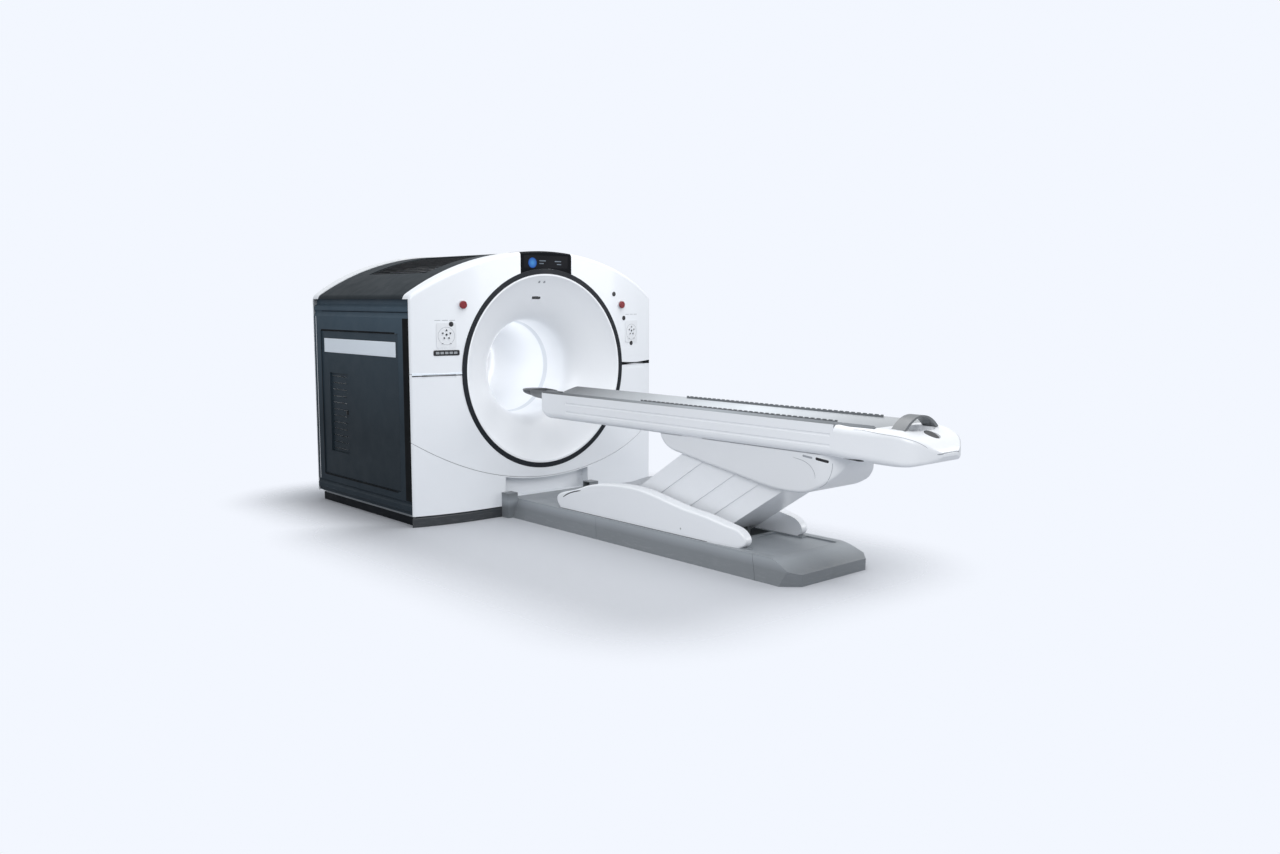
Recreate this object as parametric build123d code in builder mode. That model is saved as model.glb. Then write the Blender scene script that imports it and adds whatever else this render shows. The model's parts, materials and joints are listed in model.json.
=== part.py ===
"""Ring scanner with its patient table, in millimetres.

Origin on the floor below the middle of the gantry. +Y runs into the bore, along the way the
patient goes, +X is to the right seen from the table, +Z is up. The table lies toward -Y.
"""
import os
from math import asin, cos, degrees, radians, sin, sqrt

from build123d import *

os.makedirs("parts", exist_ok=True)

# Gantry covers
gantry_half_width = 1128
gantry_depth = 1660
wing_sweep = 80
wing_start = 600
crown_height = 1965
crown_radius = 2040
shoulder_radius = 62
crown_edge_radius = 26
cover_wall = 6
cover_gap = 3
cover_seat = 0.6
plinth_height = 78
plinth_thick = 40
plinth_bevel = 16
top_wrap = 168
side_wrap = 92
seam_height = 1085
apron_seam_radius = 2050
apron_seam_height = 265
dock_half_width = 392
dock_depth = 75
dock_lip = 8
grip_start = 800
grip_length = 250
grip_height = 30
grip_depth = 4
rear_seam_depth = 4
beyond = 10

# Bore
bore_height = 1082
ring_radius = 752
ring_band = 38
ring_depth = 24
ring_stand = 2
funnel_wall = 6
funnel_lip = 12
funnel_depth = 300
funnel_throat_radius = 368
funnel_end_radius = 362
funnel_slope = radians(46)
funnel_fullness = 0.9
window_front = 480
window_length = 40
liner_radius = 352
liner_length = 680
liner_wall = 6
rear_funnel_radius = 620
laser_slot_x = 27
laser_slot_z = 1622
laser_slot_width = 62
laser_slot_height = 14

# Display
display_half_width = 236
screen_half_width = 206
screen_height = 92
screen_drop = 34
screen_recess = 4
screen_thick = 3
bezel_thick = 12

# Sides
side_start = 96
side_steps = ((12, 84), (12, 98), (0, 110), (0, 146), (12, 158), (12, 166), (4, 176), (4, 1474),
              (18, 1498), (18, 1508), (8, 1520), (8, 1546), (34, 1566), (34, 1604))
side_skin = 6
door_start = 252
door_length = 1187
door_bottom = 235
door_top = 1358
door_thick = 24
door_skin = 4
door_gap = 3
door_inset = 6
door_frame = 12
door_edge_left = 0.2
hinge_stile = 34
side_face_inset = 10
pocket_start = 1030
pocket_length = 298
pocket_bottom = 421
pocket_height = 615
pocket_depth = 14
louvre_count = 12
louvre_width = 6
plate_start = 291
plate_length = 1122
plate_bottom = 1190
plate_height = 115
plate_recess = 2
hinge_pin_radius = 5
hinge_pin_reach = 12
hinge_fit = 0.05
latch_height = 737
latch_radius = 17
latch_thick = 8
latch_shaft_radius = 6
latch_tongue = 40
latch_place = 1066
latch_gap = 0.3
latch_bar = 4

# Top
top_drop = 7
top_skin = 6
vent_length = 860
vent_start_angle = 8
vent_end_angle = 23
vent_slots = 14
vent_rib = 7
vent_thick = 5
vent_rim = 14

# Controls
estop_x = 742
estop_z = 1566
estop_radius = 28
estop_head = 14
estop_stem_radius = 9
estop_stem_length = 30
estop_stand = 10
estop_rim = 8
panel_x = 868
panel_z = 1352
panel_width = 150
panel_height = 176
panel_thick = 5
panel_corner = 14
panel_seat = 3
key_circle = 30
key_size = 18
key_rise = 3
key_count = 5
key_centre = 6
key_row = -56
key_pair = 62
strip_z = 1229
strip_width = 200
strip_height = 42

# Floor frame and inner structure
base_plate_height = 60
post_size = 40
post_outer = 1088
lug_start = 80
arch_start = 140
arch_end = 195
bracket_heights = (200, 720, 1300)
bracket_place = 110
plate_foot = 1060
plate_shoulder = 460
stator_y = -240
stator_thick = 44
stator_half_width = 830
stator_top = 1700
rear_plate_y = 300
rear_plate_thick = 36
rear_plate_bore = 420
rear_plate_half = 620
rear_plate_top = 1480
bearing_inner = 470
bearing_outer = 520
bearing_length = 52
rotor_front = -588
rotor_rim = 776
rotor_plate_y = -280
rotor_plate = 30
rotor_wall = 12
hub_length = 70
hub_inner = 432
counterweight_front = -470
running_fit = 0.05
slip_ring_outer = 462
slip_ring_length = 70
brush_width = 120
slip_tracks = 5
slip_groove = 5
brush_gap = 0.8
brush_top = 1690
detector_inner = 600
detector_outer = 680
detector_length = 190
detector_span = 52
tube_length = 250
tube_radius = 98
tube_place = 590
tube_port = 60
tube_port_gap = 20
generator_size = 200
generator_place = 600
generator_front = -510
pulley_radius = 62
pulley_x = 900
pulley_z = 330
pulley_flange = 3
belt_width = 34
belt_thick = 5
belt_fit = 0.3
motor_radius = 105
motor_length = 220
motor_collar = 30
motor_shaft = 12
pet_inner = 366
pet_outer = 470
pet_length = 300
pet_blocks = 36
pet_joint = 4
pet_groove = 20

# Table base
base_half_width = 390
base_length = 2748
base_height = 138
base_top_half = 335
base_wall = 6
base_corner = 95
nose_drop = ((2460, 138), (2540, 137), (2609, 120), (2663, 96), (2748, 70))
well_half_width = 214
well_start = 880
well_end = 2080
sunk_depth = 10
sunk_half_width = 280
sunk_end = 2545
sunk_start = 2110
sunk_inner_half = 226
tray_thick = 16
tray_inset = 20
tray_half = 330
seam_places = (1010, 2438)
seam_leans = (37, 36)
seam_width = 3
bracket_inner = 344
bracket_outer = 430
bracket_reach = 84
bracket_height = 184
frame_rail_inner = 250
frame_rail_width = 40
pedestal_inner = 118
pedestal_outer = 146
pedestal_half = 42
pedestal_cap = 34

# Shrouds
shroud_inner = 232
shroud_outer = 318
shroud_wall = 5
shroud_start = 560
shroud_end = 2312
shroud_round = 12
shroud_taper = 2100
shroud_bend = 2020
shroud_pinch = 32
shroud_outline = ((560, 0), (520, 66), (700, 142), (850, 192), (1080, 232), (1390, 240),
                  (1830, 172), (2030, 150), (2180, 122), (2275, 92), (2306, 52), (2270, 0))

# Lift
lift_angle = 33
lift_low = 11.5
lift_high = 38
arm_length = 900
pivot_height = 190
arm_lines = (430, 580, 745, 883)
cover_upper = (48, 113, 92, 97)
cover_lower = (78, 113, 81, 57)
cover_plane = 200
cover_step = 6
cover_thick = 4
strip_clear = 4
strip_round = 24
strip_start = -60
strip_end = 930
strip_pin_radius = 8
head_standoffs = (95,)
foot_standoffs = (240, 650)
standoff_length = 60
head_web = (40, 150)
foot_web = (60, 880)
arm_outer = 170
arm_thick = 22
arm_half_depth = 27
boss_radius = 40
shaft_radius = 16
pivot_fit = 0.05
open_pivot_gap = 0.6
torsion_radius = 15
cross_tube_radius = 22
cross_place = 450

# Table top
table_height = 930
housing_half_width = 250
housing_bottom = 750
housing_wall = 6
housing_start = 510
housing_end = 2900
housing_corner = 46
head_cap_start = 236
groove_heights = (872, 812)
groove_depth = 4
groove_start = 541
groove_end = 2880
groove_half_height = 8
cap_outline = ((236, 830), (250, 788), (290, 760), (344, 750))
cap_lip_half = 228
cap_round = 40

# Lift drive
crank_length = 120
crank_half_width = 10
crank_half_depth = 22
crank_slot = 23
crank_slot_length = 34
crank_slot_centre = 124.5
crank_pin_radius = 10
fork_thick = 12
fork_reach = 60
rod_radius = 14
rod_length = 560
barrel_start = 1240
barrel_length = 440
barrel_radius = 38

# Carriage
beam_half = 140
beam_wall = 10
beam_start = 620
beam_end = 2860
saddle_outer = 222
saddle_wall = 6
saddle_round = 20
saddle_outline = ((1488, 742), (1513, 700), (1573, 660), (1680, 636), (1844, 609), (2058, 575),
                  (2271, 540), (2456, 514), (2600, 511), (2713, 527), (2806, 574), (2872, 634),
                  (2905, 690), (2914, 727))
saddle_corner = 155
saddle_open = (1522, 2640)
saddle_open_half = 208

# Nose and its controls
nose_sections = ((2900, 250, 748, 931, 46), (2980, 250, 744, 931, 46), (3060, 250, 741, 931, 46),
                 (3140, 249.5, 739, 931, 46), (3220, 248, 738, 930, 43), (3290, 245, 739, 924, 37),
                 (3340, 235, 742, 909, 31), (3380, 216, 748, 895, 28), (3410, 193, 756, 880, 25),
                 (3440, 156, 766, 857, 21), (3462, 116, 780, 835, 15), (3473, 80, 793, 820, 10),
                 (3478, 62, 799, 813, 5))
nose_under = 729
nose_wall = 10
nose_deck = 870
pocket_half = 118
pocket_half_length = 62
pocket_drop = 28
handle_place = 3256
handle_half_span = 146
handle_width = 84
handle_rise = 71
handle_thick = 9
handle_leg_radius = 7
handle_leg_depth = 40
handle_seat = 926
handle_foot = 14
handle_pad_gap = 0.3
button_place = 3358
button_height = 893
button_slope = 29
button_radius = 45
button_thick = 9.5
button_pocket = 10
button_stand = 4
button_stem = 30
button_stem_radius = 14

# Cradle
cradle_half_width = 221
cradle_head = 32
cradle_foot = 3150
cradle_thick = 28
cradle_sag = 60
cradle_gap = 3
cradle_corner = 100
rim_stand = 14
glide_gap = 0.3
rail_start = 1300
rail_end = 2900
rail_outer = 218
rail_width = 10
rail_height = 9
rail_pitch = 42
rail_notch = 20

# Head holder
holder_reach = 245
holder_half_width = 112
holder_wall = 6
holder_top = 922
holder_low = 868
holder_outline = ((-8, 914), (-62, 898), (-110, 876), (-145, 889), (-172, 912))
holder_lip = (-239, 918, 924)
holder_rim = 12
holder_shore = 26
tongue_half = 40
tongue_start = -62
tongue_end = 142
tongue_top = 917

front_y = -gantry_depth / 2
rear_y = gantry_depth / 2
crown_centre = crown_height - crown_radius
wing_arc = ((gantry_half_width - wing_start)**2 + wing_sweep**2) / (2 * wing_sweep)
shelf = side_steps[-1][1]
apron_centre = apron_seam_height + apron_seam_radius
wide = 2 * gantry_half_width + 2 * beyond


def out(distance):
    """Y of a place that far in front of the gantry's face, toward the foot of the table."""
    return front_y - distance


def inn(distance):
    """Y of a place that far behind the gantry's face."""
    return front_y + distance


def elevation(inset, bottom):
    """Front outline of the gantry, inset all round but not at its open bottom."""
    half = gantry_half_width - inset
    radius = crown_radius - inset
    shoulder = crown_centre + sqrt(radius**2 - half**2)
    with BuildSketch(Plane.XZ) as outline:
        with BuildLine():
            Polyline((-half, shoulder), (-half, bottom), (half, bottom), (half, shoulder))
            ThreePointArc((half, shoulder), (0, crown_centre + radius), (-half, shoulder))
        make_face()
        fillet(outline.vertices().group_by(Axis.Y)[-1], max(shoulder_radius - inset, beyond))
    return outline.sketch


def plan(inset):
    """Outline of the gantry from above: flat in the middle, wings swept back in an arc."""
    half = gantry_half_width - inset
    middle = (wing_start + half) / 2
    face = front_y + inset
    arc = wing_arc - inset
    bow = face + arc - sqrt(arc**2 - (middle - wing_start)**2)
    edge = face + arc - sqrt(arc**2 - (half - wing_start)**2)
    with BuildSketch() as outline:
        with BuildLine():
            Line((0, face), (wing_start, face))
            ThreePointArc((wing_start, face), (middle, bow), (half, edge))
            Line((half, edge), (half, 0))
            mirror(about=Plane.YZ)
            mirror(about=Plane.XZ)
        make_face()
    return outline.sketch


def envelope(inset):
    """The whole closed form of the gantry, inset, with its crown edges rounded."""
    front = elevation(inset, plinth_height - (beyond if inset else 0))
    above = plan(inset)
    with BuildPart() as form:
        extrude(above, amount=crown_height + beyond)
        extrude(front, amount=gantry_depth, both=True, mode=Mode.INTERSECT)
        rim = form.edges().filter_by(lambda edge: edge.center().Z > seam_height + top_wrap)
        rim = rim.filter_by(lambda edge: abs(edge.center().Y) > rear_y - wing_sweep - 1)
        fillet(rim, crown_edge_radius - inset)
    return form.part


def wing_plane(x, z):
    """Plane on the swept front face at a place, its normal pointing out of the gantry."""
    run = max(abs(x) - wing_start, 0)
    turn = asin(run / wing_arc) * (1 if x > 0 else -1)
    place = (x, front_y + wing_arc - sqrt(wing_arc**2 - run**2), z)
    return Plane(origin=place, x_dir=(cos(turn), sin(turn), 0), z_dir=(sin(turn), -cos(turn), 0))


outer_form = envelope(0)
inner_form = envelope(cover_wall)
grip_form = envelope(grip_depth)

# Front skin, before its seams are cut
with BuildPart() as front_skin:
    add(outer_form)
    add(inner_form, mode=Mode.SUBTRACT)
    with BuildSketch(Plane.YZ):
        with BuildLine():
            Polyline((out(beyond), 0), (inn(side_wrap), 0), (inn(side_wrap), shelf),
                     (inn(top_wrap), shelf), (inn(top_wrap), crown_height + beyond),
                     (out(beyond), crown_height + beyond), close=True)
        make_face()
    extrude(amount=wide, both=True, mode=Mode.INTERSECT)
    with BuildSketch(Plane.XZ):
        with Locations((0, bore_height)):
            Circle(ring_radius + cover_seat)
    extrude(amount=gantry_depth, both=True, mode=Mode.SUBTRACT)

# Upper front covers, with a button boss and the keypad's pocket; the left has a strip's pocket too
with BuildPart() as upper_cover:
    add(front_skin.part)
    with BuildSketch(Plane.XZ):
        with Locations((-display_half_width - cover_gap / 2, seam_height + cover_gap / 2)):
            Rectangle(gantry_half_width, crown_height, align=(Align.MAX, Align.MIN))
    extrude(amount=gantry_depth, both=True, mode=Mode.INTERSECT)
    with BuildSketch(wing_plane(-estop_x, estop_z).offset(-estop_stem_length / 2)):
        Circle(estop_radius + estop_rim)
    extrude(amount=estop_stem_length / 2 + estop_rim / 2)
    with BuildSketch(wing_plane(-estop_x, estop_z)):
        Circle(estop_stem_radius + running_fit)
    extrude(amount=estop_stem_length, both=True, mode=Mode.SUBTRACT)
    with BuildSketch(wing_plane(-panel_x, panel_z)):
        RectangleRounded(panel_width, panel_height, panel_corner)
    extrude(amount=-panel_seat, mode=Mode.SUBTRACT)

with BuildPart() as front_cover_upper_left:
    add(upper_cover.part)
    with BuildSketch(wing_plane(-panel_x, strip_z)):
        RectangleRounded(strip_width, strip_height, strip_height / 4)
    extrude(amount=-panel_seat, mode=Mode.SUBTRACT)

with BuildPart() as front_cover_upper_right:
    mirror(upper_cover.part, about=Plane.YZ)

# Lower front cover, all round the ring below the seam, with its grip recesses
with BuildPart() as grips:
    add(outer_form)
    add(grip_form, mode=Mode.SUBTRACT)
    with BuildSketch(Plane.XZ):
        with Locations((grip_start, seam_height), (-grip_start - grip_length, seam_height)):
            Rectangle(grip_length, grip_height, align=(Align.MIN, Align.MAX))
    extrude(amount=gantry_depth, mode=Mode.INTERSECT)

with BuildPart() as front_cover_lower:
    add(front_skin.part)
    with BuildSketch(Plane.XZ):
        with Locations((0, apron_centre)):
            Circle(apron_seam_radius - cover_gap / 2)
        with Locations((0, seam_height - cover_gap / 2)):
            Rectangle(wide, seam_height, align=(Align.CENTER, Align.MAX), mode=Mode.INTERSECT)
    extrude(amount=gantry_depth, both=True, mode=Mode.INTERSECT)
    add(grips.part, mode=Mode.SUBTRACT)


def below_seam(half, low, lip):
    """Face between a floor height and the apron's arc seam, for the dock recess."""
    with BuildSketch(Plane.XZ.offset(-front_y)) as face:
        with Locations((0, low)):
            Rectangle(2 * half, seam_height, align=(Align.CENTER, Align.MIN))
        with Locations((0, apron_centre)):
            Circle(apron_seam_radius + lip, mode=Mode.SUBTRACT)
        with Locations((0, low)):
            Rectangle(2 * half, apron_seam_height, align=(Align.CENTER, Align.MIN),
                      mode=Mode.INTERSECT)
    return face.sketch


# Apron, with the recess that the table docks in
with BuildPart() as front_cover_apron:
    add(front_skin.part)
    with BuildSketch(Plane.XZ):
        with Locations((0, 0)):
            Rectangle(wide, seam_height, align=(Align.CENTER, Align.MIN))
        with Locations((0, apron_centre)):
            Circle(apron_seam_radius + cover_gap / 2, mode=Mode.SUBTRACT)
    extrude(amount=gantry_depth, both=True, mode=Mode.INTERSECT)
    extrude(below_seam(dock_half_width + cover_wall, plinth_height, cover_gap / 2),
            amount=-dock_depth - cover_wall)
    extrude(below_seam(dock_half_width, base_height, cover_gap / 2 + dock_lip),
            amount=-dock_depth, mode=Mode.SUBTRACT)

# Grey kick panel below the front covers
plinth_outside = plan(0)
plinth_inside = plan(plinth_thick)
with BuildPart() as front_plinth:
    extrude(plinth_outside, amount=plinth_height)
    chamfer(front_plinth.edges().group_by(Axis.Z)[-1], plinth_bevel)
    extrude(plinth_inside, amount=plinth_height, mode=Mode.SUBTRACT)
    with BuildSketch():
        with Locations((0, out(beyond))):
            Rectangle(wide, side_wrap + beyond, align=(Align.CENTER, Align.MIN))
    extrude(amount=plinth_height, mode=Mode.INTERSECT)

# Funnel, ring, scan window and tunnel: all turned about the bore's axis
bore_axis = Axis((0, 0, bore_height), (0, 1, 0))


def turned(points, wall):
    """Section between a line of (radius, depth) places and the same line a wall further out."""
    with BuildSketch(Plane.YZ) as section:
        with BuildLine():
            inner = [(inn(depth), bore_height + radius) for radius, depth in points]
            outer = [(y, z + wall) for y, z in inner]
            Polyline(*inner, *reversed(outer), close=True)
        make_face()
    return section.sketch


with BuildPart() as ring_trim:
    with BuildSketch(Plane.XZ.offset(-inn(ring_depth))):
        with Locations((0, bore_height)):
            Circle(ring_radius)
            Circle(ring_radius - ring_band, mode=Mode.SUBTRACT)
    extrude(amount=ring_depth + ring_stand)
    chamfer(ring_trim.faces().sort_by(Axis.Y)[0].edges(), ring_stand)

with BuildPart() as front_funnel:
    with BuildSketch(Plane.YZ):
        with BuildLine():
            lip = ring_radius - ring_band
            start = (inn(0), bore_height + lip - funnel_lip)
            edge = (inn(0), bore_height + lip)
            throat = (inn(funnel_depth), bore_height + funnel_throat_radius)
            end = (inn(window_front), bore_height + funnel_end_radius)
            Spline(start, throat, tangents=((cos(funnel_slope), -sin(funnel_slope)), (1, 0)),
                   tangent_scalars=(funnel_fullness, funnel_fullness))
            Line(throat, end)
            Line(end, (end[0], end[1] + funnel_wall))
            Line((end[0], end[1] + funnel_wall), (throat[0], throat[1] + funnel_wall))
            Spline((throat[0], throat[1] + funnel_wall), (start[0] + ring_depth, edge[1]),
                   tangents=((-1, 0), (-cos(funnel_slope), sin(funnel_slope))),
                   tangent_scalars=(funnel_fullness, funnel_fullness))
            Line((start[0] + ring_depth, edge[1]), edge)
            Line(edge, start)
        make_face()
    revolve(axis=bore_axis)
    with BuildSketch(Plane.XZ):
        with Locations((-laser_slot_x, laser_slot_z)):
            SlotOverall(laser_slot_width, laser_slot_height)
    extrude(amount=gantry_depth / 2, mode=Mode.SUBTRACT)

with BuildPart() as scan_window:
    add(turned(((funnel_end_radius, window_front), (liner_radius, window_front + window_length)),
               funnel_wall))
    revolve(axis=bore_axis)

liner_front = window_front + window_length
liner_rear = liner_front + liner_length
with BuildPart() as bore_liner:
    add(turned(((liner_radius, liner_front), (liner_radius, liner_rear)), liner_wall))
    revolve(axis=bore_axis)

with BuildPart() as rear_funnel:
    with BuildSketch(Plane.YZ):
        with BuildLine():
            throat = (inn(liner_rear), bore_height + liner_radius)
            mouth = (rear_y, bore_height + rear_funnel_radius - funnel_lip)
            rim = (rear_y, bore_height + rear_funnel_radius)
            Spline(throat, mouth, tangents=((1, 0), (cos(funnel_slope), sin(funnel_slope))),
                   tangent_scalars=(funnel_fullness, funnel_fullness))
            Line(mouth, rim)
            Line(rim, (rim[0] - ring_depth, rim[1]))
            Spline((rim[0] - ring_depth, rim[1]), (throat[0], throat[1] + funnel_wall),
                   tangents=((-cos(funnel_slope), -sin(funnel_slope)), (-1, 0)),
                   tangent_scalars=(funnel_fullness, funnel_fullness))
            Line((throat[0], throat[1] + funnel_wall), throat)
        make_face()
    revolve(axis=bore_axis)

# Rear cover, a mirror of the front skin with the rear funnel's hole and its own seam grooves
with BuildPart() as rear_cover:
    add(outer_form)
    add(inner_form, mode=Mode.SUBTRACT)
    with BuildSketch(Plane.YZ):
        with BuildLine():
            Polyline((-out(beyond), 0), (-inn(side_wrap), 0), (-inn(side_wrap), shelf),
                     (-inn(top_wrap), shelf), (-inn(top_wrap), crown_height + beyond),
                     (-out(beyond), crown_height + beyond), close=True)
        make_face()
    extrude(amount=wide, both=True, mode=Mode.INTERSECT)
    with BuildSketch(Plane.XZ):
        with Locations((0, bore_height)):
            Circle(rear_funnel_radius)
    extrude(amount=-gantry_depth, mode=Mode.SUBTRACT)
    with BuildSketch(Plane.XZ.offset(-rear_y)):
        with Locations((0, seam_height)):
            Rectangle(wide, cover_gap)
        with Locations((0, apron_centre)):
            Circle(apron_seam_radius + cover_gap / 2)
            Circle(apron_seam_radius - cover_gap / 2, mode=Mode.SUBTRACT)
        with Locations((0, seam_height)):
            Rectangle(wide, 2 * seam_height, mode=Mode.INTERSECT)
    extrude(amount=rear_seam_depth, mode=Mode.SUBTRACT)

# Display over the ring
with BuildPart() as display_bezel:
    add(front_skin.part)
    with BuildSketch(Plane.XZ):
        with Locations((0, bore_height)):
            Rectangle(2 * display_half_width, crown_height, align=(Align.CENTER, Align.MIN))
    extrude(amount=gantry_depth, both=True, mode=Mode.INTERSECT)
    with BuildSketch(Plane.XZ.offset(-front_y)) as screen_back:
        with Locations((0, crown_height - screen_drop)):
            Rectangle(2 * screen_half_width, screen_height, align=(Align.CENTER, Align.MAX))
    extrude(amount=-bezel_thick)
    extrude(screen_back.sketch, amount=-screen_recess, mode=Mode.SUBTRACT)

with BuildPart() as display_screen:
    with BuildSketch(Plane.XZ.offset(-inn(screen_recess))):
        with Locations((0, crown_height - screen_drop)):
            Rectangle(2 * screen_half_width, screen_height, align=(Align.CENTER, Align.MAX))
    extrude(amount=screen_thick)

# Keypads with their keys, seated in the upper covers
with BuildPart() as control_panel_left:
    keypad = wing_plane(-panel_x, panel_z).offset(-panel_seat)
    with BuildSketch(keypad):
        RectangleRounded(panel_width, panel_height, panel_corner)
    extrude(amount=panel_thick)
    with BuildSketch(keypad.offset(panel_thick)):
        with Locations((0, key_centre)):
            Circle(key_size / 2)
            with PolarLocations(key_circle, key_count, start_angle=90):
                Circle(key_size / 2)
        with Locations((0, key_row)):
            with GridLocations(key_pair, 0, 2, 1):
                RectangleRounded(key_size, key_size * 0.7, key_size / 5)
    extrude(amount=key_rise)

with BuildPart() as control_panel_right:
    mirror(control_panel_left.part, about=Plane.YZ)

# Red mushroom buttons
with BuildPart() as estop_left:
    seat = wing_plane(-estop_x, estop_z)
    with BuildSketch(seat.offset(-estop_stem_length + estop_stand)):
        Circle(estop_stem_radius)
    extrude(amount=estop_stem_length)
    with BuildSketch(seat.offset(estop_stand)):
        Circle(estop_radius)
    extrude(amount=estop_head)
    fillet(estop_left.edges().filter_by(GeomType.CIRCLE).group_by(Axis.Y)[0], estop_head / 3)

with BuildPart() as estop_right:
    mirror(estop_left.part, about=Plane.YZ)


# Dark side panel: one stepped section, carried along the gantry, with a framed door opening
def side_x(inset):
    """X on the left side at an inset from the gantry's widest plane."""
    return -gantry_half_width + inset


side_length = gantry_depth - 2 * side_start
side_face = side_steps[6][0]
door_outer = side_x(side_face + door_inset)
frame_deep = side_x(side_face) + door_thick + door_inset + door_gap


def door_plane(x):
    """Plane square to X whose own axes are Y and Z."""
    return Plane(origin=(x, 0, 0), x_dir=(0, 1, 0), z_dir=(1, 0, 0))


def door_area(x, start, low, length, height, grow=0):
    """Upright rectangle on a side, given its near lower corner, grown all round."""
    with BuildSketch(door_plane(x)) as area:
        with Locations((inn(start) - grow, low - grow)):
            Rectangle(length + 2 * grow, height + 2 * grow, align=(Align.MIN, Align.MIN))
    return area.sketch


door_height = door_top - door_bottom
hinge_x = door_outer + door_thick / 2
hinge_y = inn(door_start) + door_thick / 2
with BuildPart() as side_panel_left:
    with BuildSketch(Plane.XZ):
        with BuildLine():
            outside = [(side_x(inset), height) for inset, height in side_steps]
            inside = [(x + side_skin, height) for x, height in outside]
            Polyline(*outside, *reversed(inside), close=True)
        make_face()
    extrude(amount=side_length / 2, both=True)
    extrude(door_area(side_x(side_face), door_start, door_bottom, door_length, door_height,
                      door_gap + door_frame), amount=frame_deep - side_x(side_face))
    extrude(door_area(side_x(0) - beyond, door_start, door_bottom, door_length, door_height,
                      door_gap), amount=frame_deep + gantry_half_width + 2 * beyond,
            mode=Mode.SUBTRACT)
    with BuildSketch(Plane.XY.offset(door_bottom - door_gap)):
        with Locations((hinge_x, hinge_y)):
            Circle(hinge_pin_radius)
    extrude(amount=door_gap + hinge_pin_reach)
    with BuildSketch(Plane.XY.offset(door_top + door_gap)):
        with Locations((hinge_x, hinge_y)):
            Circle(hinge_pin_radius)
    extrude(amount=-door_gap - hinge_pin_reach)

with BuildPart() as side_panel_right:
    mirror(side_panel_left.part, about=Plane.YZ)

# Service door: a pan with a round hinge edge, a vented pocket and the recess of a bare plate
with BuildPart() as service_door_left:
    extrude(door_area(door_outer, door_start, door_bottom, door_length, door_height),
            amount=door_thick)
    round_edges = service_door_left.edges().filter_by(Axis.Z).sort_by(Axis.Y)[:2]
    fillet(round_edges, door_thick / 2 - door_edge_left)
    extrude(door_area(door_outer + door_skin, door_start + hinge_stile,
                      door_bottom + hinge_pin_reach + door_skin,
                      door_length - hinge_stile - door_skin,
                      door_height - 2 * (hinge_pin_reach + door_skin)),
            amount=door_thick, mode=Mode.SUBTRACT)
    extrude(door_area(door_outer, pocket_start, pocket_bottom, pocket_length, pocket_height,
                      door_skin), amount=pocket_depth + door_skin)
    extrude(door_area(door_outer, pocket_start, pocket_bottom, pocket_length, pocket_height),
            amount=pocket_depth, mode=Mode.SUBTRACT)
    extrude(door_area(door_outer, plate_start, plate_bottom, plate_length, plate_height),
            amount=plate_recess, mode=Mode.SUBTRACT)
    with BuildSketch(door_plane(door_outer)):
        with Locations((inn(pocket_start) + pocket_length / 2 + latch_radius,
                        pocket_bottom + pocket_height / 2)):
            with GridLocations(0, pocket_height / louvre_count, 1, louvre_count):
                Rectangle(pocket_length - 4 * latch_radius, louvre_width)
    extrude(amount=door_thick, mode=Mode.SUBTRACT)
    with BuildSketch(Plane.XY):
        with Locations((hinge_x, hinge_y)):
            Circle(hinge_pin_radius + hinge_fit)
    extrude(amount=door_bottom + hinge_pin_reach + 1, mode=Mode.SUBTRACT)
    with BuildSketch(Plane.XY.offset(door_top - hinge_pin_reach - 1)):
        with Locations((hinge_x, hinge_y)):
            Circle(hinge_pin_radius + hinge_fit)
    extrude(amount=door_height, mode=Mode.SUBTRACT)
    with BuildSketch(door_plane(door_outer)):
        with Locations((inn(latch_place), latch_height)):
            Circle(latch_shaft_radius + hinge_fit)
    extrude(amount=door_thick, mode=Mode.SUBTRACT)

with BuildPart() as service_door_right:
    mirror(service_door_left.part, about=Plane.YZ)

# Quarter-turn latch in the pocket, with its tongue behind the door
pocket_floor = door_outer + pocket_depth
with BuildPart() as door_latch_left:
    with BuildSketch(door_plane(pocket_floor - latch_gap - latch_thick)):
        with Locations((inn(latch_place), latch_height)):
            Circle(latch_radius)
    extrude(amount=latch_thick)
    with BuildSketch(door_plane(pocket_floor - latch_gap - latch_thick)):
        with Locations((inn(latch_place), latch_height)):
            Rectangle(latch_radius / 2, 2 * latch_radius - 4)
    extrude(amount=-latch_bar)
    with BuildSketch(door_plane(pocket_floor - latch_gap)):
        with Locations((inn(latch_place), latch_height)):
            Circle(latch_shaft_radius)
    extrude(amount=door_skin + 2 * latch_gap)
    with BuildSketch(door_plane(pocket_floor + door_skin + latch_gap)):
        with Locations((inn(latch_place), latch_height + latch_shaft_radius)):
            Rectangle(2 * latch_shaft_radius, latch_tongue, align=(Align.CENTER, Align.MAX))
    extrude(amount=latch_bar)

with BuildPart() as door_latch_right:
    mirror(door_latch_left.part, about=Plane.YZ)

# Dark top cover with two openings, and the slotted air outlets that fill them
def crown_band(inset, thick, start, end):
    """Band that follows the crown between two angles from its middle, on the left side."""
    with BuildSketch(Plane.XZ) as band:
        with BuildLine():
            radius = crown_radius - inset
            CenterArc((0, crown_centre), radius, 90 + start, end - start)
            CenterArc((0, crown_centre), radius - thick, 90 + start, end - start)
            for angle in (start, end):
                turn = radians(90 + angle)
                Line((radius * cos(turn), crown_centre + radius * sin(turn)),
                     ((radius - thick) * cos(turn), crown_centre + (radius - thick) * sin(turn)))
        make_face()
    return band.sketch


top_length = gantry_depth - 2 * top_wrap - 2 * cover_gap
with BuildPart() as vent_holes:
    extrude(crown_band(0, 4 * top_skin, vent_start_angle, vent_end_angle),
            amount=vent_length / 2, both=True)
    mirror(about=Plane.YZ)

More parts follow.
